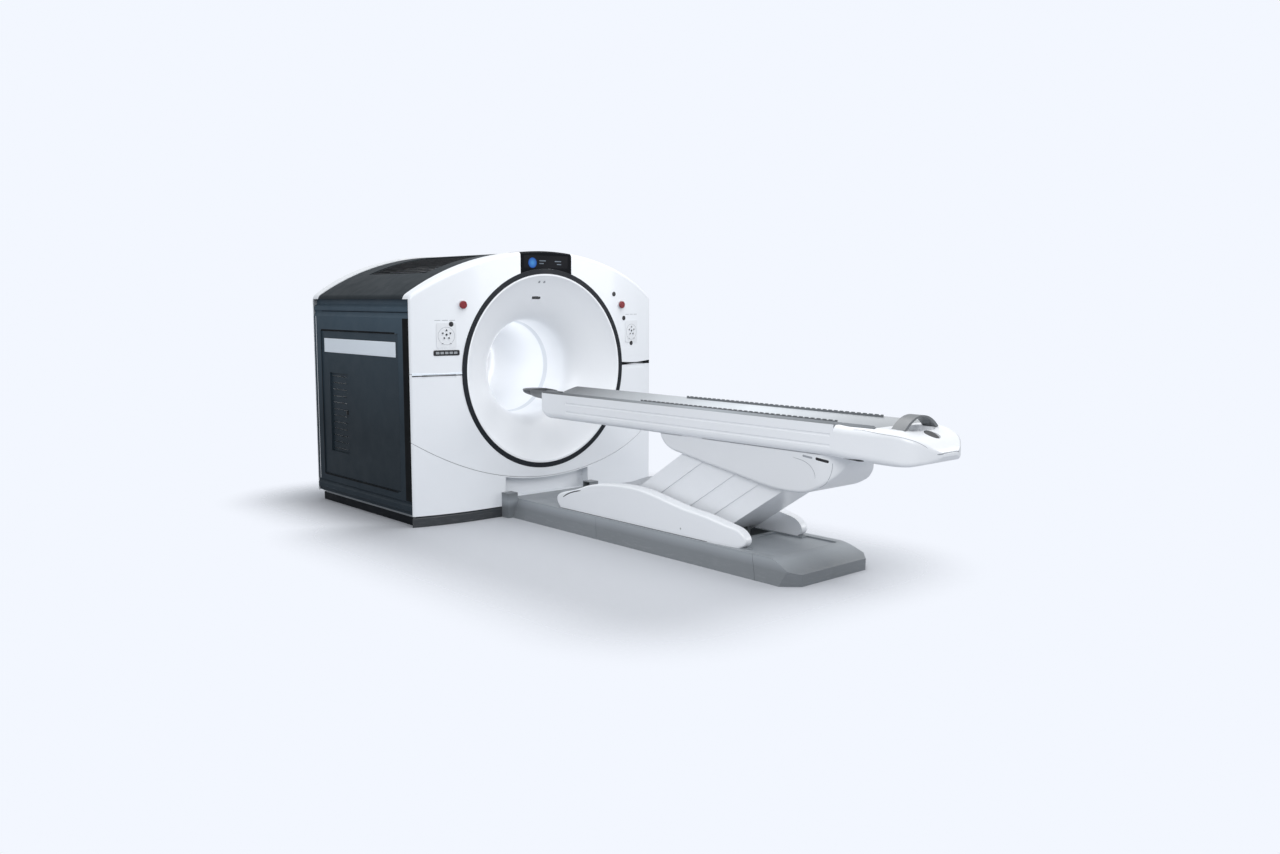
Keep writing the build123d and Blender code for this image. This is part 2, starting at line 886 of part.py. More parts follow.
crown_outside = elevation(top_drop, seam_height)
crown_inside = elevation(top_drop + top_skin, seam_height - beyond)
with BuildPart() as top_cover:
    extrude(crown_outside, amount=top_length / 2, both=True)
    extrude(crown_inside, amount=top_length / 2, both=True, mode=Mode.SUBTRACT)
    with Locations((0, 0, shelf)):
        Box(wide, gantry_depth, shelf, align=(Align.CENTER, Align.CENTER, Align.MAX),
            mode=Mode.SUBTRACT)
    add(vent_holes.part, mode=Mode.SUBTRACT)

vent_step = (vent_end_angle - vent_start_angle) / vent_slots
rim_angle = degrees(vent_rim / crown_radius)
rib_angle = degrees(vent_rib / crown_radius)
with BuildPart() as vent_cuts:
    for slot in range(vent_slots):
        low = vent_start_angle + slot * vent_step
        extrude(crown_band(0, 6 * top_skin, low + rib_angle, low + vent_step),
                amount=vent_length / 2 - vent_rim, both=True)
    mirror(about=Plane.YZ)

with BuildPart() as top_vents:
    extrude(crown_band(top_drop + top_skin, vent_thick, -vent_end_angle - rim_angle,
                       vent_end_angle + rim_angle), amount=vent_length / 2 + vent_rim, both=True)
    add(vent_cuts.part, mode=Mode.SUBTRACT)

# Floor plate that the whole gantry stands on
with BuildPart() as gantry_base:
    extrude(plinth_inside, amount=base_plate_height)



def block(x, y, z, mode=Mode.ADD):
    """Box between pairs of coordinates, put into the part being built."""
    with Locations((min(x), min(y), min(z))):
        Box(abs(x[1] - x[0]), abs(y[1] - y[0]), abs(z[1] - z[0]), align=(Align.MIN,) * 3,
            mode=mode)


def across(start, radius, centre=(0, bore_height)):
    """Disc face square to Y at a place along it."""
    with BuildSketch(Plane.XZ.offset(-start)) as disc:
        with Locations(centre):
            Circle(radius)
    return disc.sketch


# Inner frame: bearing plate, rear plate, sills, posts and the arches that carry the covers
arch_inset = gantry_half_width - post_outer + post_size
arch_outside = elevation(cover_wall, seam_height).moved(Location((0, inn(top_wrap), 0)))
arch_under_top = elevation(top_drop + top_skin, seam_height).moved(
    Location((0, inn(arch_end), 0)))
arch_inside = elevation(arch_inset, seam_height - beyond)
with BuildPart() as front_end:
    extrude(arch_outside, amount=top_wrap - arch_start)
    extrude(arch_under_top, amount=arch_end - top_wrap)
    extrude(arch_inside, amount=gantry_depth, both=True, mode=Mode.SUBTRACT)
    block((-wide, wide), (inn(0), 0), (shelf, 0), mode=Mode.SUBTRACT)
    for side in (-1, 1):
        post = (side * (post_outer - post_size), side * post_outer)
        block(post, (inn(side_wrap), inn(arch_end)), (base_plate_height, shelf))
        for height in bracket_heights:
            block((side * post_outer, side * (gantry_half_width - side_face_inset)),
                  (inn(bracket_place), inn(bracket_place + post_size)),
                  (height, height + post_size))
    add(inner_form, mode=Mode.INTERSECT)

with BuildPart() as cover_lugs:
    for side in (-1, 1):
        block((side * (post_outer - post_size), side * gantry_half_width),
              (inn(lug_start), inn(side_wrap)),
              (base_plate_height + post_size, shelf))
    add(inner_form, mode=Mode.INTERSECT)

plate_half = [(plate_foot, base_plate_height), (plate_foot, plate_shoulder),
              (stator_half_width, plate_shoulder + 190), (stator_half_width, stator_top - 230),
              (stator_half_width - 230, stator_top)]
with BuildPart() as gantry_frame:
    add(front_end.part)
    add(cover_lugs.part)
    mirror(about=Plane.XZ)
    for side in (-1, 1):
        block((side * (post_outer - post_size), side * post_outer),
              (inn(arch_start), -inn(arch_start)),
              (base_plate_height, base_plate_height + 2 * post_size))
    with BuildSketch(Plane.XZ.offset(-stator_y)):
        with BuildLine():
            Polyline(*plate_half, *[(-x, z) for x, z in reversed(plate_half)], close=True)
        make_face()
        with Locations((0, bore_height)):
            Circle(bearing_outer, mode=Mode.SUBTRACT)
        with Locations((pulley_x, pulley_z)):
            Circle(motor_collar, mode=Mode.SUBTRACT)
    extrude(amount=-stator_thick)
    with BuildSketch(Plane.XZ.offset(-rear_plate_y)):
        with Locations((0, base_plate_height)):
            Rectangle(2 * rear_plate_half, rear_plate_top, align=(Align.CENTER, Align.MIN))
            Rectangle(2 * plate_foot, 3 * post_size, align=(Align.CENTER, Align.MIN))
        with Locations((0, bore_height)):
            Circle(rear_plate_bore, mode=Mode.SUBTRACT)
    extrude(amount=-rear_plate_thick)

with BuildPart() as rotor_bearing:
    with BuildSketch(Plane.XZ.offset(-stator_y + (bearing_length - stator_thick) / 2)):
        with Locations((0, bore_height)):
            Circle(bearing_outer)
            Circle(bearing_inner, mode=Mode.SUBTRACT)
    extrude(amount=-bearing_length)

# Rotor: rim, web, hub and counterweight in one, with the parts it carries round the bore
web_back = rotor_plate_y + rotor_plate
with BuildPart() as rotor_drum:
    extrude(across(rotor_front, rotor_rim), amount=rotor_front - web_back)
    extrude(across(rotor_front, rotor_rim - rotor_wall), amount=rotor_front - rotor_plate_y,
            mode=Mode.SUBTRACT)
    extrude(across(web_back, bearing_inner - running_fit), amount=-hub_length)
    block((-generator_place - generator_size / 2, -generator_place + generator_size / 2),
          (counterweight_front, rotor_plate_y),
          (bore_height - generator_size / 2, bore_height + generator_size / 2))
    extrude(across(rotor_front, hub_inner), amount=-gantry_depth / 2, mode=Mode.SUBTRACT)

with BuildPart() as xray_tube:
    tube_centre = (0, bore_height + tube_place)
    extrude(across(rotor_plate_y, tube_radius, tube_centre), amount=tube_length)
    chamfer(xray_tube.faces().sort_by(Axis.Y)[0].edges(), tube_radius / 6)
    block((-tube_port, tube_port), (rotor_plate_y - tube_port, rotor_plate_y),
          (bore_height + hub_inner + tube_port_gap, bore_height + tube_place))

with BuildPart() as hv_generator:
    block((generator_place - generator_size / 2, generator_place + generator_size / 2),
          (generator_front, rotor_plate_y),
          (bore_height - generator_size * 0.75, bore_height + generator_size * 0.75))
    fillet(hv_generator.edges().filter_by(Axis.Y), generator_size / 20)

with BuildPart() as ct_detector:
    with BuildSketch(Plane.XZ.offset(-rotor_plate_y)):
        with BuildLine():
            for radius in (detector_inner, detector_outer):
                CenterArc((0, bore_height), radius, -90 - detector_span / 2, detector_span)
            for side in (-1, 1):
                turn = radians(-90 + side * detector_span / 2)
                Line((detector_inner * cos(turn), bore_height + detector_inner * sin(turn)),
                     (detector_outer * cos(turn), bore_height + detector_outer * sin(turn)))
        make_face()
    extrude(amount=detector_length)

with BuildPart() as slip_ring:
    hub_back = web_back + hub_length
    extrude(across(hub_back, slip_ring_outer), amount=-slip_ring_length)
    extrude(across(hub_back, hub_inner), amount=-slip_ring_length, mode=Mode.SUBTRACT)
    for track in range(slip_tracks):
        place = hub_back + (track + 0.75) * slip_ring_length / slip_tracks
        with BuildSketch(Plane.XZ.offset(-place)):
            with Locations((0, bore_height)):
                Circle(slip_ring_outer + 1)
                Circle(slip_ring_outer - slip_groove, mode=Mode.SUBTRACT)
        extrude(amount=slip_ring_length / slip_tracks / 2, mode=Mode.SUBTRACT)

stator_back = stator_y + stator_thick
brush_bottom = bore_height + slip_ring_outer + brush_gap
with BuildPart() as brush_block:
    block((-brush_width / 2, brush_width / 2), (stator_back, stator_back + slip_ring_length),
          (bore_height + bearing_outer + brush_gap, brush_top))
    block((-brush_width / 2, brush_width / 2),
          (hub_back + slip_groove, hub_back + slip_ring_length - slip_groove),
          (brush_bottom, bore_height + bearing_outer + 2 * brush_gap))

# Second ring of detectors behind the rotor, in blocks, hung on the rear plate
with BuildPart() as pet_detector_ring:
    extrude(across(rear_plate_y, pet_outer), amount=pet_length)
    extrude(across(rear_plate_y, pet_inner), amount=pet_length, mode=Mode.SUBTRACT)
    with BuildSketch(Plane.XZ.offset(-rear_plate_y)):
        with Locations((0, bore_height)):
            with PolarLocations(pet_outer, pet_blocks):
                Rectangle(2 * pet_groove, pet_joint)
    extrude(amount=pet_length - pet_joint, mode=Mode.SUBTRACT)

# Drive: motor on the bearing plate, pulley on its shaft, belt round pulley and rim
belt_front = rotor_plate_y - pulley_flange
pulley_place = (pulley_x, pulley_z)
with BuildPart() as drive_motor:
    extrude(across(stator_back, motor_radius, pulley_place), amount=-motor_length)
    extrude(across(stator_back, motor_shaft, pulley_place),
            amount=stator_back - belt_front + belt_width + pulley_flange)

with BuildPart() as drive_pulley:
    extrude(across(belt_front + belt_width + pulley_flange, pulley_radius, pulley_place),
            amount=belt_width + 2 * pulley_flange)
    extrude(across(belt_front + belt_width + pulley_flange, motor_shaft + running_fit,
                   pulley_place),
            amount=belt_width + 2 * pulley_flange, mode=Mode.SUBTRACT)


def belt_loop(grow):
    """Outline of a belt led round the rotor's rim and the pulley, grown by a distance."""
    with BuildSketch(Plane.XZ.offset(-belt_front)) as loop:
        with Locations((0, bore_height)):
            Circle(rotor_rim + grow)
        with Locations(pulley_place):
            Circle(pulley_radius + grow)
        make_hull()
    return loop.sketch


with BuildPart() as drive_belt:
    extrude(belt_loop(belt_fit + belt_thick), amount=-belt_width)
    extrude(belt_loop(belt_fit), amount=-belt_width, mode=Mode.SUBTRACT)


def base_form(inset):
    """Closed form of the table's base, inset at its top, sides and foot end."""
    low = -beyond if inset else 0
    half = base_half_width - inset
    foot = out(base_length) + inset
    with BuildPart() as form:
        with BuildSketch(Plane.YZ):
            with BuildLine():
                fall = [(out(place) + inset, height - inset) for place, height in nose_drop]
                Polyline(fall[-1], (foot, low), (front_y, low), (front_y, base_height - inset),
                         fall[0])
                Spline(*fall)
            make_face()
        extrude(amount=wide, both=True)
        with BuildSketch(Plane.XZ.offset(-front_y)):
            top = base_top_half - inset
            with BuildLine():
                Polyline((-half, low), (half, low), (top, base_height), (-top, base_height),
                         close=True)
            make_face()
        extrude(amount=base_length, mode=Mode.INTERSECT)
        with BuildSketch():
            with BuildLine():
                Polyline((-half, front_y), (half, front_y), (half, foot + base_corner),
                         (half - base_corner, foot), (base_corner - half, foot),
                         (-half, foot + base_corner), close=True)
            make_face()
        extrude(amount=base_height, both=True, mode=Mode.INTERSECT)
    return form.part


sunk_floor = base_height - sunk_depth
base_outside = base_form(0)
base_inside = base_form(base_wall)
base_groove = base_form(seam_width)
with BuildPart() as base_seams:
    for place, lean in zip(seam_places, seam_leans):
        with BuildSketch(Plane.YZ):
            with BuildLine():
                high, low = out(place - lean), out(place + lean)
                Polyline((high, base_height), (high - seam_width, base_height),
                         (low - seam_width, 0), (low, 0), close=True)
            make_face()
        extrude(amount=wide, both=True)
    add(base_groove, mode=Mode.SUBTRACT)

with BuildPart() as base_cover:
    add(base_outside)
    add(base_inside, mode=Mode.SUBTRACT)
    for grown, low, high in ((base_wall, sunk_floor - base_wall, base_height - base_wall + 1),
                             (0, sunk_floor, base_height + beyond)):
        mode = Mode.ADD if grown else Mode.SUBTRACT
        block((-sunk_half_width - grown, sunk_half_width + grown),
              (out(shroud_end - grown), out(sunk_end + grown)), (low, high), mode=mode)
        block((-sunk_inner_half - grown, sunk_inner_half + grown),
              (out(sunk_start - grown), out(shroud_end + grown)), (low, high), mode=mode)
    for side in (-1, 1):
        block((side * bracket_inner, side * bracket_outer), (front_y, out(bracket_reach)),
              (0, bracket_height))
        block((side * bracket_inner, side * (bracket_outer - base_wall)),
              (front_y - base_wall, out(bracket_reach - base_wall)),
              (-beyond, bracket_height - base_wall), mode=Mode.SUBTRACT)
    add(base_seams.part, mode=Mode.SUBTRACT)
    block((-well_half_width, well_half_width), (out(well_start), out(well_end)),
          (base_height / 2, base_height + beyond), mode=Mode.SUBTRACT)

# Steel frame inside it: tray, and pedestals for the lift's lower pivots
lower_pivots = [cos(radians(lift_angle)) / sin(radians(lift_angle)) * pivot_height
                + line / sin(radians(lift_angle)) for line in arm_lines]
rise = sin(radians(lift_angle))
run = cos(radians(lift_angle))
upper_height = pivot_height + arm_length * rise


def pedestal(place, hole):
    """Pair of upright plates on the tray, bored for a shaft at the lower pivots' height."""
    with BuildPart() as pair:
        with BuildSketch(Plane.YZ):
            with Locations((out(place), tray_thick)):
                Rectangle(2 * pedestal_half, pivot_height - tray_thick,
                          align=(Align.CENTER, Align.MIN))
            with Locations((out(place), pivot_height)):
                Circle(pedestal_cap)
                Circle(hole, mode=Mode.SUBTRACT)
        extrude(amount=pedestal_outer, both=True)
        block((-pedestal_inner, pedestal_inner), (0, out(base_length)), (0, 2 * pivot_height),
              mode=Mode.SUBTRACT)
    return pair.part


pedestals = [pedestal(place, radius + pivot_fit) for place, radius in
             zip(lower_pivots, (shaft_radius, torsion_radius, torsion_radius, shaft_radius))]
with BuildPart() as base_frame:
    block((-tray_half, tray_half), (out(tray_inset), out(base_length - 2 * base_corner)),
          (0, tray_thick))
    for plates in pedestals:
        add(plates)
    for side in (-1, 1):
        block((side * frame_rail_inner, side * (frame_rail_inner + frame_rail_width)),
              (out(tray_inset), out(base_length - 3 * base_corner)),
              (tray_thick, sunk_floor - base_wall))

# White shrouds along both sides of the well
shroud_points = [(out(place), base_height + height) for place, height in shroud_outline]


def shroud_plan(inset):
    """Outline of the left shroud from above: its outer side bends inward toward the foot."""
    outer = inset - shroud_outer
    inner = -shroud_inner - inset
    with BuildSketch() as outline:
        with BuildLine():
            TangentArc((outer, out(shroud_bend)), (outer + shroud_pinch, out(shroud_end)),
                       tangent=(0, -1))
            Polyline((outer + shroud_pinch, out(shroud_end)), (inner, out(shroud_end)),
                     (inner, out(0)), (outer, out(0)), (outer, out(shroud_bend)))
        make_face()
    return outline.sketch


shroud_edge = shroud_plan(0)
shroud_edge_inside = shroud_plan(shroud_wall)
with BuildPart() as shroud_core:
    with BuildSketch(Plane.YZ.offset(-shroud_outer + shroud_wall)):
        with BuildLine():
            Polyline(*shroud_points, close=True)
        make_face()
        offset(amount=-shroud_wall, kind=Kind.INTERSECTION)
        with Locations((out(0), base_height)):
            Rectangle(base_length, shroud_wall + 1, align=(Align.MAX, Align.MIN),
                      mode=Mode.SUBTRACT)
    extrude(amount=shroud_outer - shroud_inner - 2 * shroud_wall)
    block((-shroud_outer + shroud_wall, -shroud_inner - shroud_wall),
          (out(shroud_start + 2 * shroud_wall), out(shroud_taper)),
          (base_height - 1, base_height + 3 * shroud_wall))
    extrude(shroud_edge_inside, amount=seam_height, mode=Mode.INTERSECT)

with BuildPart() as shroud_left:
    with BuildSketch(Plane.YZ.offset(-shroud_outer)):
        with BuildLine():
            Spline(*shroud_points)
            Line(shroud_points[-1], shroud_points[0])
        make_face()
    extrude(amount=shroud_outer - shroud_inner)
    extrude(shroud_edge, amount=seam_height, mode=Mode.INTERSECT)
    rim = shroud_left.edges().filter_by(lambda edge: edge.center().Z > base_height + 1)
    rim = rim.filter_by(lambda edge: edge.bounding_box().max.X < -shroud_inner - shroud_pinch / 2)
    fillet(rim.filter_by(lambda edge: edge.bounding_box().size.Y > shroud_wall), shroud_round)
    add(shroud_core.part, mode=Mode.SUBTRACT)

with BuildPart() as shroud_right:
    mirror(shroud_left.part, about=Plane.YZ)


def link_plane(place):
    """Plane of a lift link: from its lower pivot along the link, then square to it, upward."""
    return Plane(origin=(0, out(place), pivot_height), x_dir=(0, -run, rise), z_dir=(-1, 0, 0))


def strip(link):
    """Side outline of one cover strip of the lift, kept clear of the table top at its limits."""
    with BuildSketch() as outline:
        with Locations((strip_start, -cover_lower[link])):
            Rectangle(strip_end - strip_start, cover_lower[link] + cover_upper[link],
                      align=(Align.MIN, Align.MIN))
        for angle in (lift_low, lift_high):
            turn = radians(angle)
            room = housing_bottom - strip_clear - pivot_height + arm_length * (sin(turn) - rise)
            with Locations((room * sin(turn), room * cos(turn))):
                Rectangle(4 * arm_length, arm_length, rotation=-angle,
                          align=(Align.CENTER, Align.MIN), mode=Mode.SUBTRACT)
        fillet(outline.vertices().group_by(Axis.X)[0], strip_round)
    return outline.sketch


strips = [strip(link) for link in range(len(arm_lines))]
link_planes = [link_plane(place) for place in lower_pivots]


def strip_plates(link, web_edge, web_start, web_end):
    """The two side plates of a cover strip, joined by a web along one edge if it has any length."""
    outer = cover_plane - link * cover_step
    with BuildPart() as plates:
        with BuildSketch(link_planes[link]):
            add(strips[link])
        extrude(amount=outer, both=True)
        with BuildSketch(link_planes[link]):
            Rectangle(4 * arm_length, 4 * arm_length)
        extrude(amount=outer - cover_thick, both=True, mode=Mode.SUBTRACT)
        if web_end > web_start:
            with BuildSketch(link_planes[link]):
                with Locations((web_start, web_edge)):
                    Rectangle(web_end - web_start, cover_thick, align=(Align.MIN, Align.MIN))
            extrude(amount=outer, both=True)
    return plates.part


def link_bars(link, standoff, places):
    """Two steel bars with bosses, shafts through their ends and a tube between them."""
    with BuildPart() as bars:
        with BuildSketch(link_planes[link]):
            with Locations((arm_length / 2, 0)):
                Rectangle(arm_length, 2 * arm_half_depth)
            with Locations((0, 0), (arm_length, 0)):
                Circle(boss_radius)
            with Locations(*[(place, standoff / 2) for place in places]):
                Rectangle(standoff_length, abs(standoff))
        extrude(amount=arm_outer, both=True)
        with BuildSketch(link_planes[link]):
            Rectangle(4 * arm_length, 4 * arm_length)
        extrude(amount=arm_outer - arm_thick, both=True, mode=Mode.SUBTRACT)
        with BuildSketch(link_planes[link]):
            with Locations((0, 0), (arm_length, 0)):
                Circle(shaft_radius)
            with Locations((cross_place, 0)):
                Circle(cross_tube_radius)
        extrude(amount=arm_outer - arm_thick, both=True)
    return bars.part


head_bars = link_bars(0, cover_upper[0] - cover_thick, head_standoffs)
with BuildPart() as lift_arm_head:
    add(head_bars)
    with BuildSketch(Plane.YZ):
        with Locations((out(lower_pivots[0]), pivot_height)):
            Rectangle(2 * crank_half_depth, crank_length + crank_slot_length,
                      align=(Align.CENTER, Align.MAX))
            Circle(crank_half_depth)
        with Locations((out(lower_pivots[0]), pivot_height - crank_slot_centre)):
            SlotOverall(crank_slot_length, crank_slot, rotation=90, mode=Mode.SUBTRACT)
    extrude(amount=crank_half_width, both=True)

foot_bars = link_bars(3, cover_thick - cover_lower[3], foot_standoffs)
with BuildPart() as lift_arm_foot:
    add(foot_bars)

head_strip = strip_plates(0, cover_upper[0] - cover_thick, head_web[0], head_web[1])
with BuildPart() as arm_cover_head:
    add(head_strip)

foot_strip = strip_plates(3, -cover_lower[3], foot_web[0], foot_web[1])
with BuildPart() as arm_cover_foot:
    add(foot_strip)


def loose_strip(link):
    """Cover strip that turns on its own tube below and on pins of the saddle above."""
    plates = strip_plates(link, 0, 0, 0)
    with BuildPart() as cover:
        add(plates)
        with BuildSketch(link_planes[link]):
            Circle(torsion_radius)
        extrude(amount=cover_plane - link * cover_step - cover_thick, both=True)
        with BuildSketch(link_planes[link]):
            with Locations((arm_length, 0)):
                Circle(strip_pin_radius + open_pivot_gap)
        extrude(amount=cover_plane, both=True, mode=Mode.SUBTRACT)
    return cover.part


upper_strip = loose_strip(1)
lower_strip = loose_strip(2)
with BuildPart() as arm_cover_upper:
    add(upper_strip)

with BuildPart() as arm_cover_lower:
    add(lower_strip)

# Actuator: its rod slides level and turns the head arm's crank
crank_y = out(lower_pivots[0])
crank_z = pivot_height - crank_length
with BuildPart() as actuator_rod:
    with BuildSketch(Plane.YZ):
        with Locations((crank_y, crank_z)):
            Circle(crank_pin_radius)
    extrude(amount=crank_half_width + fork_thick, both=True)
    for side in (-1, 1):
        block((side * (crank_half_width + 1), side * (crank_half_width + fork_thick)),
              (crank_y + 2 * crank_pin_radius, crank_y - fork_reach),
              (crank_z - rod_radius, crank_z + rod_radius))
    block((-crank_half_width - fork_thick, crank_half_width + fork_thick),
          (crank_y - fork_reach, crank_y - fork_reach - fork_thick),
          (crank_z - rod_radius, crank_z + rod_radius))
    with BuildSketch(Plane.XZ.offset(-crank_y + fork_reach)):
        with Locations((0, crank_z)):
            Circle(rod_radius)
    extrude(amount=rod_length)

with BuildPart() as actuator_barrel:
    with BuildSketch(Plane.XZ.offset(-out(barrel_start))):
        with Locations((0, crank_z)):
            Circle(barrel_radius)
            Rectangle(2 * barrel_radius, crank_z - tray_thick, align=(Align.CENTER, Align.MAX))
            Circle(rod_radius + running_fit, mode=Mode.SUBTRACT)
    extrude(amount=barrel_length)

# Table top: what slides over the carriage has to stay clear of everything below it
def cradle_room(gap):
    """Section of the space over the cradle's underside, with a gap, up past the table's top."""
    half = cradle_half_width + gap
    rim = table_height + rim_stand - cradle_thick - gap
    with BuildSketch(Plane.XZ.offset(-front_y)) as room:
        with BuildLine():
            ThreePointArc((-half, rim), (0, rim - cradle_sag), (half, rim))
            Polyline((half, rim), (half, table_height + cradle_half_width),
                     (-half, table_height + cradle_half_width), (-half, rim))
        make_face()
    return room.sketch


sliding_room = cradle_room(cradle_gap)
bearing_room = cradle_room(glide_gap)


def trough_section(inset):
    """Housing section: rounded lower corners, inset at the sides and bottom."""
    half = housing_half_width - inset
    with BuildSketch(Plane.XZ) as section:
        with Locations((0, table_height)):
            Rectangle(2 * half, table_height - housing_bottom - inset,
                      align=(Align.CENTER, Align.MAX))
        fillet(section.vertices().group_by(Axis.Y)[0], housing_corner - inset)
    return section.sketch


housing_outside = trough_section(0)
housing_inside = trough_section(housing_wall)
with BuildPart() as housing:
    extrude(housing_outside.moved(Location((0, out(housing_start), 0))),
            amount=housing_end - housing_start)
    for height in groove_heights:
        for side in (-1, 1):
            with BuildSketch(Plane.XZ.offset(-out(groove_start))):
                with Locations((side * housing_half_width, height)):
                    Ellipse(groove_depth, groove_half_height)
            extrude(amount=groove_end - groove_start, mode=Mode.SUBTRACT)
    extrude(housing_inside.moved(Location((0, out(housing_start), 0))),
            amount=housing_end - housing_start, mode=Mode.SUBTRACT)
    block((-cap_lip_half, cap_lip_half), (out(housing_start - 1), out(housing_end + 1)),
          (housing_bottom + 2 * housing_wall, table_height + beyond), mode=Mode.SUBTRACT)
    for place in (lower_pivots[0], lower_pivots[3]):
        block((-beam_half - beam_wall, beam_half + beam_wall),
              (out(place + arm_length * run) - 2 * pedestal_half,
               out(place + arm_length * run) + 2 * pedestal_half),
              (housing_bottom - beyond, housing_bottom + 2 * housing_wall), mode=Mode.SUBTRACT)

cap_shape = [(out(place), height) for place, height in cap_outline]
cap_inner_shape = [(y - housing_wall, height + housing_wall) for y, height in cap_shape]
with BuildPart() as cap_core:
    extrude(housing_inside.moved(Location((0, inn(0), 0))), amount=housing_start)
    with BuildSketch(Plane.YZ):
        with BuildLine():
            Spline(*cap_inner_shape, tangents=((0, -1), (-1, 0)))
            Polyline(cap_inner_shape[-1], (out(housing_start), cap_inner_shape[-1][1]),
                     (out(housing_start), table_height + beyond),
                     (cap_inner_shape[0][0], table_height + beyond), cap_inner_shape[0])
        make_face()
    extrude(amount=wide, both=True, mode=Mode.INTERSECT)

with BuildPart() as housing_head_cap:
    extrude(housing_outside.moved(Location((0, out(head_cap_start), 0))),
            amount=housing_start - head_cap_start)
    with BuildSketch(Plane.YZ):
        with BuildLine():
            Spline(*cap_shape, tangents=((0, -1), (-1, 0)))
            Polyline(cap_shape[-1], (out(housing_start), housing_bottom),
                     (out(housing_start), table_height), (out(head_cap_start), table_height),
                     cap_shape[0])
        make_face()
    extrude(amount=wide, both=True, mode=Mode.INTERSECT)
    fillet(housing_head_cap.edges().filter_by(Axis.Z).group_by(Axis.Y)[-1], cap_round)
    add(cap_core.part, mode=Mode.SUBTRACT)
    extrude(sliding_room, amount=housing_start, mode=Mode.SUBTRACT)

# Steel carriage inside the table top, with hangers for the lift's upper pivots
with BuildPart() as carriage_frame:
    block((-beam_half, beam_half), (out(beam_start), out(beam_end)),
          (housing_bottom + housing_wall, table_height))
    block((-beam_half + beam_wall, beam_half - beam_wall), (out(beam_start), out(beam_end)),
          (housing_bottom + housing_wall + beam_wall, table_height), mode=Mode.SUBTRACT)
    extrude(bearing_room, amount=housing_end, mode=Mode.SUBTRACT)
    for place, gap in ((lower_pivots[0], pivot_fit), (lower_pivots[3], open_pivot_gap)):
        upper_y = out(place + arm_length * run)
        for side in (-1, 1):
            with BuildSketch(Plane.YZ.offset(side * pedestal_inner)):
                with Locations((upper_y, upper_height)):
                    Rectangle(2 * pedestal_half,
                              housing_bottom + housing_wall + beam_wall - upper_height,
                              align=(Align.CENTER, Align.MIN))
                    Circle(pedestal_cap)
                    Circle(shaft_radius + gap, mode=Mode.SUBTRACT)
            extrude(amount=side * (pedestal_outer - pedestal_inner))

# Saddle below the housing, open where the lift goes in, with pins for the loose strips
saddle_points = [(out(place), height) for place, height in saddle_outline]
saddle_top = [(out(saddle_outline[-1][0]), nose_under), (out(housing_end), nose_under),
              (out(housing_end), housing_bottom), (out(saddle_outline[0][0]), housing_bottom)]


def saddle_plan(inset):
    """Plan of the saddle, with straight sides and a rounded foot end, moved in by an inset."""
    with BuildSketch() as plan:
        with Locations((0, out(saddle_outline[-1][0] - inset))):
            Rectangle(2 * (saddle_outer - inset), saddle_outline[-1][0],
                      align=(Align.CENTER, Align.MIN))
        fillet(plan.vertices().group_by(Axis.Y)[0], saddle_corner - inset)
    return plan.sketch


saddle_outer_plan = saddle_plan(0)
saddle_inner_plan = saddle_plan(saddle_wall)
with BuildPart() as saddle_core:
    with BuildSketch(Plane.YZ):
        with BuildLine():
            Polyline(*saddle_points, *saddle_top, close=True)
        make_face()
        offset(amount=-saddle_wall - 1, kind=Kind.INTERSECTION)
        with Locations((out(0), upper_height)):
            Rectangle(housing_end - saddle_wall, housing_bottom - upper_height + 1,
                      align=(Align.MAX, Align.MIN))
        with Locations((out(saddle_outline[0][0] + 2 * saddle_wall), upper_height)):
            Rectangle(table_height, housing_bottom, align=(Align.MIN, Align.CENTER),
                      mode=Mode.SUBTRACT)
    extrude(amount=saddle_outer - saddle_wall, both=True)
    extrude(saddle_inner_plan, amount=table_height, mode=Mode.INTERSECT)

with BuildPart() as saddle:
    with BuildSketch(Plane.YZ):
        with BuildLine():
            Spline(*saddle_points)
            Polyline(saddle_points[-1], *saddle_top, saddle_points[0])
        make_face()
    extrude(amount=saddle_outer, both=True)
    extrude(saddle_outer_plan, amount=table_height, mode=Mode.INTERSECT)
    belly = saddle.faces().filter_by(lambda face: face.geom_type != GeomType.PLANE)
    keel = belly.sort_by(SortBy.AREA)[-1]
    fillet(keel.edges().filter_by(lambda edge: edge.bounding_box().size.Z > saddle_round), saddle_round)
    add(saddle_core.part, mode=Mode.SUBTRACT)
    block((-saddle_open_half, saddle_open_half), (out(saddle_open[0]), out(saddle_open[1])),
          (0, housing_bottom), mode=Mode.SUBTRACT)
    for link in (1, 2):
        inner = cover_plane - link * cover_step - cover_thick
        for side in (-1, 1):
            with BuildSketch(Plane.YZ.offset(side * inner)):
                with Locations((out(lower_pivots[link] + arm_length * run), upper_height)):
                    Circle(strip_pin_radius)
            extrude(amount=side * (saddle_outer - 1 - inner))

# Rounded nose, lofted through upright sections, hollow, with a pocket below the handle
def nose_section(place, half, low, high, radius):
    """Rounded upright section of the nose at a place along it."""
    with BuildSketch(Plane.XZ.offset(-out(place))) as section:
        with Locations((0, (low + high) / 2)):
            RectangleRounded(2 * half, high - low, min(radius, (high - low) / 2 - 1))
    return section.sketch


